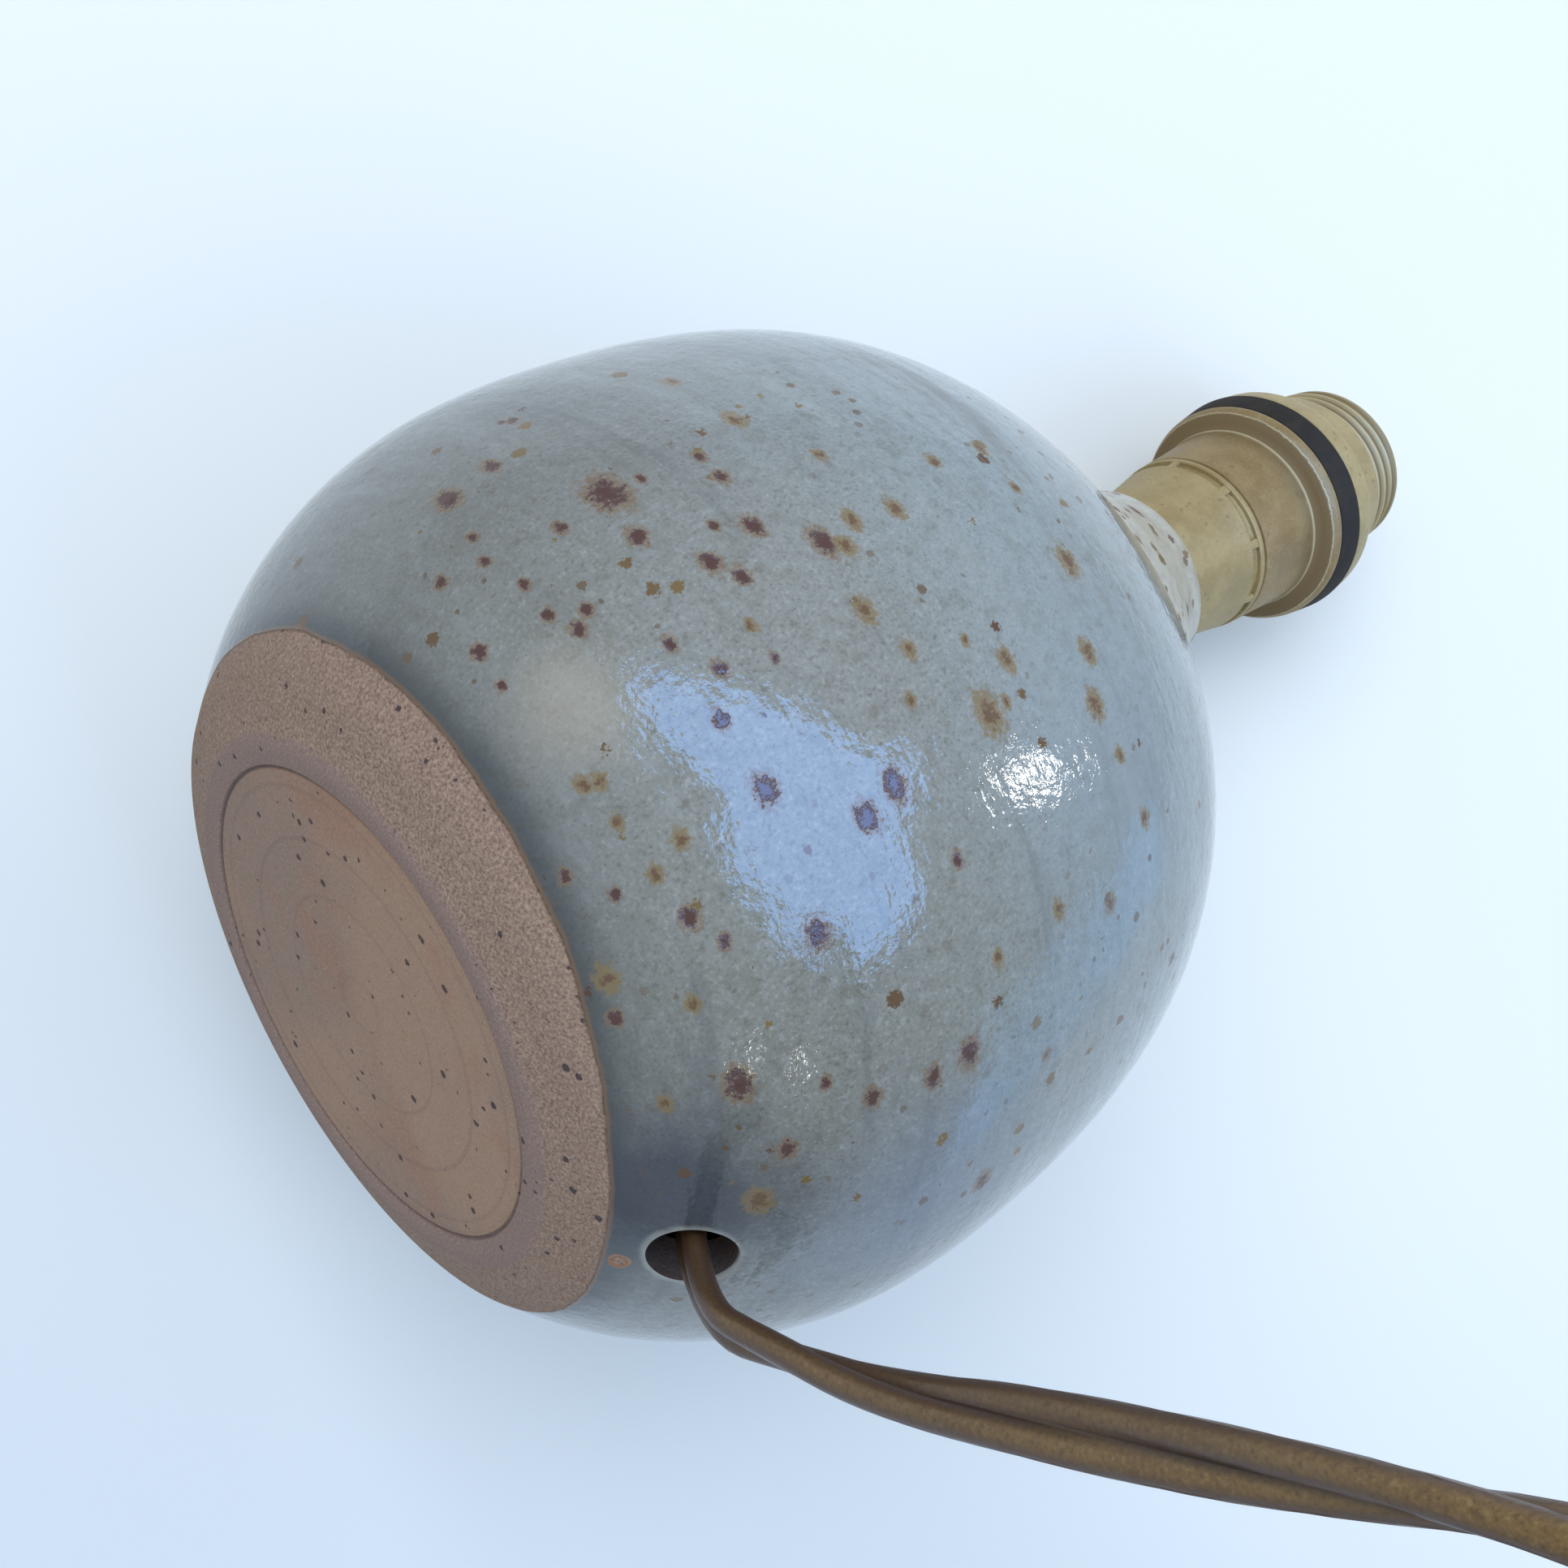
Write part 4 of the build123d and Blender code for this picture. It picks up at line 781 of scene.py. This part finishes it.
# %% Gold paint on plastic
def gold_paint(name, dark, light, bare=None):
    """Dull gold paint, with bare brown plastic between two heights where the paint stops, and with those
    heights also the sleeve's painted shade and highlights.
    """
    material, tree, shader = finish(name, light, 0.5, 0.15)
    here = object_place(tree)
    worn = noise(tree, here, 260.0, 4.0)
    paint = blend(tree, step_up(tree, worn, 0.3, 0.7), dark, light)
    flakes = effect(tree, grain_group, Scale=1900.0, Contrast=1.6).outputs[0]
    paint = blend(tree, step_up(tree, flakes, 0.55, 0.9, 0.0, 0.3), paint, tint(184, 172, 134))
    paint = blend(tree, step_up(tree, flakes, 0.45, 0.1, 0.0, 0.3), paint, tint(112, 98, 68))
    marks = effect(tree, scuffs_group, Scale=150.0, Amount=0.55).outputs[0]
    paint = blend(tree, marks, paint, tint(190, 180, 152))
    dust = effect(tree, specks_group, Scale=700.0, Size=0.3, Ragged=0.3).outputs["Mask"]
    paint = blend(tree, sum_of(tree, "MULTIPLY", dust, 0.45), paint, tint(110, 92, 66))
    rough = step_up(tree, worn, 0.3, 0.75, 0.44, 0.6)
    if bare:
        paint, plain = sleeve_wear_and_painted_light(tree, here, paint, *bare)
        rough = between(tree, plain, rough, 0.7)
    tree.links.new(paint, shader.inputs["Base Color"])
    tree.links.new(rough, shader.inputs["Roughness"])
    skin = sum_of(tree, "ADD", worn, sum_of(tree, "MULTIPLY", marks, -0.4))
    bump(tree, shader, skin, 0.00007)
    return material


def wear(obj, material, body, *nodes):
    """The piece gets its finish, rides on its body and stands for its solids."""
    obj.data.materials.clear()
    obj.data.materials.append(material)
    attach(obj, body)
    if nodes:
        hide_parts(*nodes)


bare_band = (0.16995, 0.17098)
cap_paint = gold_paint("gold_paint_cap", tint(152, 132, 86), tint(168, 148, 101))
# Painted shade: the sleeve's gold is the cap's paint made darker.
shaded_sleeve_paint = gold_paint("gold_paint_sleeve_shaded", tint(134, 111, 68), tint(152, 129, 85), bare_band)
ring_paint = gold_paint("gold_paint_ring", tint(158, 141, 99), tint(175, 158, 114))

# %% Cap with its ribs
cap = turned("holder_cap", [
    (5.05, 142.8), (5.05, 140.4), (5.2, 140.2), (12.5, 140.2), (12.78, 140.35), (12.85, 140.6),
    (12.85, 148.6), (13.0, 149.8), (13.72, 154.5), (13.8, 154.78), (13.72, 154.92), (13.42, 154.98),
    (13.32, 155.15), (13.3, 156.2), (13.42, 156.36), (14.0, 156.42), (14.15, 156.6), (14.15, 157.3),
    (14.02, 157.5), (11.6, 157.55), (11.5, 157.4), (11.5, 142.9), (11.3, 142.8), (5.05, 142.8),
], 180)


def pick_points(obj, test):
    """Edit mode, with the vertices that pass a test on their place selected."""
    pick(obj)
    for vertex in obj.data.vertices:
        vertex.select = False
    bpy.ops.object.mode_set(mode="EDIT")
    bpy.ops.mesh.select_mode(type="VERT")
    bpy.ops.mesh.select_all(action="DESELECT")
    bpy.ops.object.mode_set(mode="OBJECT")
    for vertex in obj.data.vertices:
        vertex.select = test(vertex.co)
    bpy.ops.object.mode_set(mode="EDIT")


def join_into(obj, others):
    """The other pieces become part of this one."""
    clear()
    for other in others:
        other.select_set(True)
    obj.select_set(True)
    bpy.context.view_layer.objects.active = obj
    bpy.ops.object.join()


rib_count = 9
rib_at = (12.95 * MM, 0, 152.9 * MM)
rib_size = (2.3 * MM, 1.55 * MM, 7.0 * MM)
first_rib = 14.6
clear()
bpy.ops.mesh.primitive_cube_add(size=1, location=rib_at, scale=rib_size)
bpy.ops.object.transform_apply(location=True, rotation=True, scale=True)
rib = bpy.context.object
pick_points(rib, lambda co: co.x > 0.0135 and co.z < 0.151)
bpy.ops.transform.translate(value=(-1.25 * MM, 0, 0))
bpy.ops.transform.resize(value=(1, 0.75, 1))
bpy.ops.object.mode_set(mode="OBJECT")
soften(rib, 0.28 * MM, 3)
ribs = []
for k in range(rib_count):
    copy = rib.copy()
    copy.data = rib.data.copy()
    bpy.context.scene.collection.objects.link(copy)
    copy.rotation_euler = (0, 0, math.radians(first_rib + 360 / rib_count * k))
    pick(copy)
    bpy.ops.object.transform_apply(location=True, rotation=True, scale=True)
    ribs.append(copy)
pick(rib)
bpy.ops.object.delete()
join_into(cap, ribs)
wear(cap, cap_paint, "base", "lower_cap")

# %% Sleeve
sleeve = turned("holder_sleeve", [
    (10.6, 151.4), (10.7, 151.3), (11.3, 151.3), (11.4, 151.4), (11.4, 157.8), (14.0, 157.8),
    (14.16, 157.92), (14.24, 158.3), (14.36, 161.9), (14.52, 164.6), (14.66, 167.0), (14.78, 168.9),
    (14.82, 169.4), (15.0, 169.52), (15.06, 169.75), (15.02, 169.98), (15.1, 170.08), (16.2, 170.42),
    (17.3, 170.78), (17.42, 170.86), (18.06, 171.95), (18.15, 172.2), (18.12, 172.5), (18.0, 172.6),
    (13.3, 172.6), (13.3, 196.2), (13.38, 196.45), (13.6, 196.6), (13.58, 197.1), (13.4, 197.28),
    (13.1, 197.3), (9.6, 197.3), (9.42, 197.15), (9.4, 196.1), (9.6, 195.9), (11.5, 195.9),
    (11.55, 195.7), (11.55, 157.85), (10.65, 157.7), (10.6, 151.4),
], 200)

# %% [markdown]
# ### Thread of the sleeve
# One tooth of the thread is drawn and the Screw modifier carries it round and up the barrel.
# Both ends then sink into the barrel over part of a turn, as a real thread runs out.

# %% Thread
pitch = 2.0
thread_turns = 11
thread_low = 172.7
root_r = 13.1
sink_rate = 2.5
tooth = [(13.1, 0.15), (13.5, 0.45), (13.88, 0.78), (13.99, 1.0), (13.88, 1.22), (13.5, 1.55), (13.1, 1.85)]
clear()
bpy.ops.mesh.primitive_plane_add(size=MM)
thread = bpy.context.object
thread.name = "holder_thread"
bpy.ops.object.mode_set(mode="EDIT")
bpy.ops.mesh.merge(type="CENTER")
bpy.ops.transform.translate(value=(tooth[0][0] * MM, 0, (thread_low + tooth[0][1]) * MM))
for before, after in zip(tooth[:-1], tooth[1:]):
    step = ((after[0] - before[0]) * MM, 0, (after[1] - before[1]) * MM)
    bpy.ops.mesh.extrude_region_move(TRANSFORM_OT_translate={"value": step})
bpy.ops.mesh.select_all(action="SELECT")
bpy.ops.object.mode_set(mode="OBJECT")
screw = thread.modifiers.new("thread", "SCREW")
screw.axis = "Z"
screw.screw_offset = pitch * MM
screw.iterations = thread_turns
screw.steps = 90
screw.render_steps = 90
screw.use_merge_vertices = False
apply_all(thread)
for vertex in thread.data.vertices:
    turns_up = (vertex.co.z / MM - thread_low) / pitch - 0.5
    turns_left = thread_turns - 0.05 - turns_up
    share = min(1.0, max(0.0, turns_up * sink_rate), max(0.0, turns_left * sink_rate))
    radius_now = math.hypot(vertex.co.x, vertex.co.y)
    wanted = root_r * MM + (radius_now - root_r * MM) * share
    vertex.co.x *= wanted / radius_now
    vertex.co.y *= wanted / radius_now
pick(thread)
bpy.ops.object.mode_set(mode="EDIT")
bpy.ops.mesh.select_all(action="SELECT")
bpy.ops.mesh.normals_make_consistent(inside=False)
bpy.ops.object.mode_set(mode="OBJECT")
bpy.ops.object.shade_smooth_by_angle(angle=math.radians(60))
probe = max(thread.data.polygons, key=lambda face: math.hypot(face.center.x, face.center.y))
if probe.normal.dot(Vector((probe.center.x, probe.center.y, 0))) < 0:
    pick(thread)
    bpy.ops.object.mode_set(mode="EDIT")
    bpy.ops.mesh.select_all(action="SELECT")
    bpy.ops.mesh.flip_normals()
    bpy.ops.object.mode_set(mode="OBJECT")
thread.rotation_euler = (0, 0, math.radians(215))
pick(thread)
bpy.ops.object.transform_apply(location=True, rotation=True, scale=True)
join_into(sleeve, [thread])
wear(sleeve, shaded_sleeve_paint, "base", "outer_sleeve")
print("sleeve faces", len(sleeve.data.polygons))

# %% Black ring and shade ring
rubber, tree, shader = finish("black_rubber", tint(42, 37, 30), 0.75, Specular_IOR_Level=0.25)
here = object_place(tree)
worn = noise(tree, here, 320.0, 4.0)
rubber_colour = blend(tree, step_up(tree, worn, 0.35, 0.75), tint(38, 33, 26), tint(56, 49, 40))
tree.links.new(rubber_colour, shader.inputs["Base Color"])
tree.links.new(step_up(tree, worn, 0.3, 0.7, 0.66, 0.85), shader.inputs["Roughness"])
bump(tree, shader, effect(tree, grain_group, Scale=1800.0, Contrast=1.0).outputs[0], 0.00006)
gasket = turned("shade_gasket", [
    (14.09, 172.85), (14.29, 172.65), (17.9, 172.65), (18.15, 172.75), (18.26, 173.0), (18.7, 176.4),
    (18.72, 176.7), (18.5, 176.85), (14.29, 176.85), (14.09, 176.65), (14.09, 172.85),
], 180)
wear(gasket, rubber, "gasket", "black_gasket")
ring = turned("shade_ring_turned", [
    (14.09, 177.1), (14.24, 176.95), (18.3, 176.95), (18.56, 177.06), (18.64, 177.3), (18.44, 178.8),
    (18.3, 180.0), (18.2, 180.6), (18.02, 181.08), (17.7, 181.3), (17.3, 181.4), (16.3, 181.6),
    (15.55, 182.15), (15.15, 182.95), (15.02, 184.1), (15.0, 188.6), (14.9, 188.92), (14.66, 189.05),
    (14.3, 189.05), (14.12, 188.95), (14.09, 188.7), (14.09, 177.1),
], 200)
wear(ring, ring_paint, "shade_ring", "shade_ring")

# %% [markdown]
# ## Parts kept from the solids
# The insert, the contacts, the fixing and the switch and plug have the right shape already. A
# merged copy gets soft edges where the light would catch them, and stands for its solid. Small
# hidden parts keep their solids and get their metal.

# %% Soft copies
def refined(node, name, width, segments=2, smooth=38):
    """A merged copy of a solid, in its place, with soft edges."""
    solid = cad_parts[node]
    mesh = solid.data.copy()
    mesh.transform(solid.matrix_world)
    mesh.materials.clear()
    copy = bpy.data.objects.new(name, mesh)
    bpy.context.scene.collection.objects.link(copy)
    pick(copy)
    bpy.ops.object.mode_set(mode="EDIT")
    bpy.ops.mesh.select_all(action="SELECT")
    bpy.ops.mesh.remove_doubles(threshold=0.00001)
    bpy.ops.mesh.dissolve_limited(angle_limit=math.radians(1.0))
    bpy.ops.object.mode_set(mode="OBJECT")
    if width:
        soften(copy, width, segments)
    pick(copy)
    bpy.ops.object.shade_smooth_by_angle(angle=math.radians(smooth))
    return copy


def moulded(name, base, light, rough=0.42, metallic=0.0):
    """Moulded plastic with a fine skin and faint scuffs."""
    material, tree, shader = finish(name, base, rough, metallic)
    here = object_place(tree)
    cloudy = noise(tree, here, 120.0, 4.0)
    colour = blend(tree, step_up(tree, cloudy, 0.3, 0.75), base, light)
    marks = effect(tree, scuffs_group, Scale=110.0, Amount=0.35).outputs[0]
    colour = blend(tree, marks, colour, tuple(min(1.0, v * 1.35) for v in light[:3]) + (1,))
    tree.links.new(colour, shader.inputs["Base Color"])
    tree.links.new(step_up(tree, cloudy, 0.3, 0.75, rough - 0.08, rough + 0.1), shader.inputs["Roughness"])
    skin = effect(tree, grain_group, Scale=2400.0, Contrast=1.0).outputs[0]
    bump(tree, shader, sum_of(tree, "ADD", skin, sum_of(tree, "MULTIPLY", marks, -0.5)), 0.00004)
    return material


def metal(name, bright, dull, rough):
    """Metal with duller patches and fine scratches."""
    material, tree, shader = finish(name, bright, rough, 1.0)
    here = object_place(tree)
    patches = noise(tree, here, 300.0, 4.0)
    tree.links.new(blend(tree, step_up(tree, patches, 0.4, 0.75), bright, dull), shader.inputs["Base Color"])
    marks = effect(tree, scuffs_group, Scale=260.0, Amount=0.6).outputs[0]
    tree.links.new(sum_of(tree, "MULTIPLY_ADD", patches, 0.25, rough - 0.1), shader.inputs["Roughness"])
    bump(tree, shader, sum_of(tree, "ADD", patches, marks), 0.00003)
    return material


ivory = moulded("ivory_insert", tint(206, 199, 182), tint(222, 216, 200), 0.45)
bronze_plastic = moulded("bronze_plastic", tint(132, 112, 78), tint(152, 131, 94), 0.42, 0.25)
dark_plastic = moulded("rocker_plastic", tint(84, 70, 50), tint(100, 84, 62), 0.4, 0.15)
brass = metal("brass", tint(206, 172, 104), tint(160, 126, 74), 0.32)
steel = metal("steel", tint(188, 190, 192), tint(140, 140, 140), 0.36)
nickel = metal("nickel", tint(206, 204, 198), tint(168, 164, 156), 0.26)

wear(refined("socket_core", "socket_insert", 0.2 * MM), ivory, "base", "socket_core")
wear(refined("screw_shell", "lamp_thread_shell", 0, 2, 60), brass, "base", "screw_shell")
wear(refined("switch_base", "switch_lower", 0.2 * MM), bronze_plastic, "base", "switch_base")
wear(refined("switch_cover", "switch_upper", 0.2 * MM), bronze_plastic, "base", "switch_cover")
wear(refined("switch_rocker", "switch_key", 0.5 * MM, 3), dark_plastic, "rocker", "switch_rocker")
wear(refined("plug_body", "plug_moulded", 1.3 * MM, 4, 50), bronze_plastic, "base", "plug_body")
for node in ("plug_pin_a", "plug_pin_b"):
    wear(refined(node, node + "_turned", 0.15 * MM), nickel, "base", node)

# %% Solids that only need their metal
brass_nodes = ["centre_contact", "terminal_live", "terminal_neutral", "switch_bridge"]
steel_nodes = [
    "terminal_screw_live", "terminal_screw_neutral", "threaded_tube", "clamp_washer", "lock_nut",
    "toggle_bar", "toggle_nut", "rocker_pin", "switch_screw_a", "switch_screw_b",
]
for node in brass_nodes + steel_nodes:
    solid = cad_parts[node]
    material = brass if node in brass_nodes else steel
    if not solid.material_slots:
        solid.data.materials.append(material)
    for slot in solid.material_slots:
        slot.material = material
print("metal on", len(brass_nodes + steel_nodes), "solids")

# %% [markdown]
# ## Strain relief and tie
# The plug's flex leaves through a soft ribbed cone. The coil is held by a flat woven strap.

# %% Ribbed cone on the plug
relief_cone = turned("plug_relief", [
    (0, 1.5), (4.4, 1.5), (4.5, 0.2), (4.2, -0.6), (3.5, -1.0), (4.1, -1.5), (4.0, -2.6), (3.3, -3.0),
    (3.85, -3.5), (3.7, -4.6), (3.1, -5.0), (3.6, -5.5), (3.45, -6.6), (3.05, -7.0), (3.3, -7.4),
    (3.1, -8.6), (2.75, -8.8), (0, -8.8),
], 64)
plug_angle = math.radians(-306)
plug_way = Vector((math.cos(plug_angle), math.sin(plug_angle), 0))
relief_cone.matrix_world = facing_along(tail[-1], plug_way)
pick(relief_cone)
bpy.ops.object.transform_apply(location=True, rotation=True, scale=True)
wear(relief_cone, bronze_plastic, "base")

# %% Woven strap
strap_finish, tree, shader = finish("woven_strap", tint(58, 54, 50), 0.85)
here = object_place(tree)
spun = add(tree, "ShaderNodeMapping", {"Vector": here, "Rotation": (0, 0, math.radians(-68))}).outputs[0]
threads = {"Vector": spun, "Scale": 420.0, "Distortion": 0.6}
warp = add(tree, "ShaderNodeTexWave", threads, bands_direction="X").outputs["Fac"]
weft = add(tree, "ShaderNodeTexWave", threads, bands_direction="Y").outputs["Fac"]
weave = sum_of(tree, "MULTIPLY", warp, weft)
tree.links.new(blend(tree, weave, tint(46, 42, 40), tint(92, 86, 78)), shader.inputs["Base Color"])
bump(tree, shader, weave, 0.00025)
wear(refined("coil_tie", "coil_strap", 0.15 * MM), strap_finish, "base", "coil_tie")

# %% Sheath of the flex
sheath, tree, shader = finish("flex_sheath", tint(134, 112, 78), 0.36, 0.3)
here = object_place(tree)
slow = noise(tree, here, 60.0, 3.0)
sheath_colour = blend(tree, step_up(tree, slow, 0.35, 0.7), tint(131, 103, 61), tint(147, 119, 74))
flakes = effect(tree, grain_group, Scale=2200.0, Contrast=2.4).outputs[0]
sheath_colour = blend(tree, step_up(tree, flakes, 0.5, 1.0, 0.0, 0.55), sheath_colour, tint(172, 146, 96))
sheath_colour = blend(tree, step_up(tree, flakes, 0.5, 0.0, 0.0, 0.6), sheath_colour, tint(82, 62, 40))
# Painted shade: the cores darken towards their edges as seen from the camera, so their middles read as a
# highlight.
painted_edge_shade = add(tree, "ShaderNodeLayerWeight", {"Blend": 0.5}).outputs["Facing"]
sheath_colour = blend(tree, step_up(tree, painted_edge_shade, 0.02, 0.6, 0.0, 0.9), sheath_colour, tint(78, 56, 44))
# Painted shade in the groove of the web between the two cores.
round_section = axes_of(tree, add(tree, "ShaderNodeTexCoord").outputs["UV"])[1]
round_core = sum_of(tree, "FRACT", sum_of(tree, "MULTIPLY_ADD", round_section, 2.0, 0.5455))
web = step_up(tree, apart(tree, round_core, 0.5), 0.03, 0.13, 0.75, 0.0)
sheath_colour = blend(tree, web, sheath_colour, tint(64, 48, 38))
tree.links.new(sheath_colour, shader.inputs["Base Color"])
tree.links.new(step_up(tree, slow, 0.3, 0.7, 0.3, 0.42), shader.inputs["Roughness"])
bump(tree, shader, effect(tree, grain_group, Scale=1300.0, Contrast=1.0).outputs[0], 0.00006)
for run in (flex_run, flex_tail, flex_inside):
    run.data.materials.append(sheath)

# %% [markdown]
# ### What the flex is
# The visible run, its coil and the switch are one cord, and the stretch from the switch to the plug is
# another.

# %% [markdown]
# ## Table, backdrop and light
# The floor is what the lamp stands on in the other views. The photograph's camera is below the
# floor, so the floor shows only from above and lets everything else pass. The table in the
# photograph lies behind the lamp on its side, so a backdrop takes its place and its soft shadow.
# A camera sees the backdrop only from below the floor, or through it, and glossy pieces reflect
# it. Daylight came from above left, and a window shows as a bright patch on the glaze.

# %% Floor
def see_through(tree, shader, mask):
    """The shader shows where the mask is one, and nothing does where it is zero."""
    clear_shader = add(tree, "ShaderNodeBsdfTransparent")
    mixed = add(tree, "ShaderNodeMixShader", {0: mask, 1: clear_shader.outputs[0], 2: shader.outputs[0]})
    tree.links.new(mixed.outputs[0], tree.nodes["Material Output"].inputs["Surface"])


def sheet_masks(tree):
    """Distance from the middle of the scene, what kind of ray it is, and one on the front side."""
    far = measure_of(tree, "LENGTH", object_place(tree))
    rays = add(tree, "ShaderNodeLightPath").outputs
    front = sum_of(tree, "SUBTRACT", 1.0, add(tree, "ShaderNodeNewGeometry").outputs["Backfacing"])
    return far, rays, front


floor_gap = 0.2 * MM
clear()
bpy.ops.mesh.primitive_plane_add(size=6.0, location=(0, 0, -floor_gap))
floor = bpy.context.object
floor.name = "floor"
floor_finish, tree, shader = finish("floor_paper", tint(232, 240, 246), 0.9)
shader.inputs["Emission Color"].default_value = (0.72, 0.84, 0.94, 1)
shader.inputs["Emission Strength"].default_value = 0.34
far, rays, front = sheet_masks(tree)
near_part = step_up(tree, far, 0.45, 0.85, 1.0, 0.0)
from_above = sum_of(tree, "MULTIPLY", rays["Is Camera Ray"], front)
see_through(tree, shader, sum_of(tree, "MULTIPLY", from_above, near_part))
floor.data.materials.append(floor_finish)

# %% Backdrop
table_out = Vector((0.7493, 0.5917, -0.2974)).normalized()
table_far = -71.2 * MM
clear()
bpy.ops.mesh.primitive_plane_add(size=1.6)
backdrop = bpy.context.object
backdrop.name = "backdrop"
backdrop.matrix_world = facing_along(table_out * table_far, table_out)
backdrop_finish, tree, shader = finish("backdrop_paper", tint(240, 248, 253), 0.9)
far, rays, front = sheet_masks(tree)
spot = add(tree, "ShaderNodeNewGeometry").outputs["Position"]
low = sum_of(tree, "LESS_THAN", axes_of(tree, spot)[2], 0.0)
through = sum_of(tree, "GREATER_THAN", rays["Transparent Depth"], 0.5)
from_below = sum_of(tree, "MULTIPLY", rays["Is Camera Ray"], sum_of(tree, "MAXIMUM", low, through))
by_camera = sum_of(tree, "MULTIPLY", from_below, step_up(tree, far, 0.32, 0.42, 1.0, 0.0))
by_gloss = sum_of(tree, "MULTIPLY", rays["Is Glossy Ray"], step_up(tree, far, 0.45, 0.75, 1.0, 0.0))
see_through(tree, shader, sum_of(tree, "MULTIPLY", sum_of(tree, "MAXIMUM", by_camera, by_gloss), front))
# Painted light: the paper is lighter on the side towards the daylight and darker away from it.
bright = step_up(tree, measure_of(tree, "DOT_PRODUCT", spot, (0.71, -0.13, 0.69)), -0.13, 0.06)
paper_with_painted_light = blend(tree, bright, tint(223, 233, 244), tint(243, 250, 255))
tree.links.new(paper_with_painted_light, shader.inputs["Base Color"])
backdrop.data.materials.append(backdrop_finish)

# %% World
world = bpy.data.worlds.new("daylight")
bpy.context.scene.world = world
world.use_nodes = True
tree = world.node_tree
tree.nodes.clear()
way = add(tree, "ShaderNodeTexCoord").outputs["Generated"]
facing = measure_of(tree, "DOT_PRODUCT", way, tuple(table_out))
sky = blend(tree, step_up(tree, facing, -0.9, 0.3), (0.30, 0.35, 0.42, 1), (0.53, 0.60, 0.68, 1))
rays = add(tree, "ShaderNodeLightPath").outputs
shown = blend(tree, rays["Is Camera Ray"], sky, tint(236, 246, 252))
background = add(tree, "ShaderNodeBackground", {0: shown, 1: 1.0})
output = tree.nodes.new("ShaderNodeOutputWorld")
tree.links.new(background.outputs[0], output.inputs[0])

# %% Lamps of the studio
bpy.context.scene.view_settings.view_transform = "Standard"
lamp_aim = Vector((0, 0, 0.07))


def soft_lamp(name, place, size, power, colour):
    """A square soft lamp that faces the middle of the object and shows in no reflection."""
    bpy.ops.object.light_add(type="AREA", location=place)
    lamp = bpy.context.object
    lamp.name = name
    lamp.data.size = size
    lamp.data.energy = power
    lamp.data.color = colour
    lamp.rotation_euler = (Vector(place) - lamp_aim).to_track_quat("Z", "Y").to_euler()
    lamp.visible_camera = False
    lamp.visible_glossy = False


soft_lamp("key", (1.02, 0.14, -0.33), 0.8, 5.0, (1.0, 0.985, 0.96))
soft_lamp("fill", (0.15, 1.03, 0.15), 0.8, 2.4, (0.72, 0.86, 1.0))
soft_lamp("top", (0.45, -0.05, 0.95), 0.9, 3.1, (0.98, 0.98, 1.0))


# %% Window and sky that the glaze reflects
def bright_pane(name, corners, colour, strength):
    """A glowing pane that only reflections see, for a window in the room."""
    clear()
    bpy.ops.mesh.primitive_circle_add(vertices=len(corners), radius=0.1, fill_type="NGON")
    pane = bpy.context.object
    pane.name = name
    for vertex, corner in zip(pane.data.vertices, corners):
        vertex.co = corner
    glow, tree, shader = finish(name + "_glow", (0, 0, 0, 1), 1.0)
    shader.inputs["Emission Color"].default_value = colour
    shader.inputs["Emission Strength"].default_value = strength
    pane.data.materials.append(glow)
    pane.visible_camera = False
    pane.visible_diffuse = False
    pane.visible_shadow = False


window = [
    (0.800, -0.017, -0.261), (0.833, 0.113, -0.121), (0.816, 0.261, 0.028), (0.755, 0.386, 0.160),
    (0.657, 0.501, 0.259), (0.561, 0.529, 0.404), (0.499, 0.615, 0.355), (0.494, 0.659, 0.264),
    (0.381, 0.733, 0.252), (0.275, 0.792, 0.193), (0.237, 0.818, 0.083), (0.210, 0.822, -0.049),
    (0.226, 0.799, -0.158), (0.312, 0.750, -0.225), (0.425, 0.680, -0.261), (0.508, 0.570, -0.348),
    (0.601, 0.491, -0.325), (0.677, 0.442, -0.246), (0.721, 0.330, -0.287), (0.746, 0.176, -0.342),
]
glint = [
    (0.278, 0.423, 0.445), (0.268, 0.408, 0.468), (0.232, 0.410, 0.488), (0.180, 0.412, 0.506),
    (0.172, 0.423, 0.498), (0.195, 0.430, 0.482), (0.212, 0.442, 0.464), (0.242, 0.446, 0.444),
    (0.250, 0.432, 0.456),
]
small_glint = [
    (0.001, 0.578, -0.257), (0.024, 0.592, -0.229), (-0.006, 0.607, -0.192), (-0.045, 0.601, -0.202),
    (-0.055, 0.584, -0.237),
]
low_sky = [(-0.043, 0.483, 0.81), (-0.151, 0.807, 0.432), (-0.583, 0.618, 0.27), (-0.583, 0.294, 0.648)]
sun_white = (1.0, 0.98, 0.94, 1)
bright_pane("window", window, (0.23, 0.48, 1.02, 1), 9.0)
bright_pane("glint", glint, sun_white, 24.0)
bright_pane("small_glint", small_glint, sun_white, 18.0)
bright_pane("low_sky", low_sky, (0.34, 0.62, 1.0, 1), 1.8)
print("stage ready")
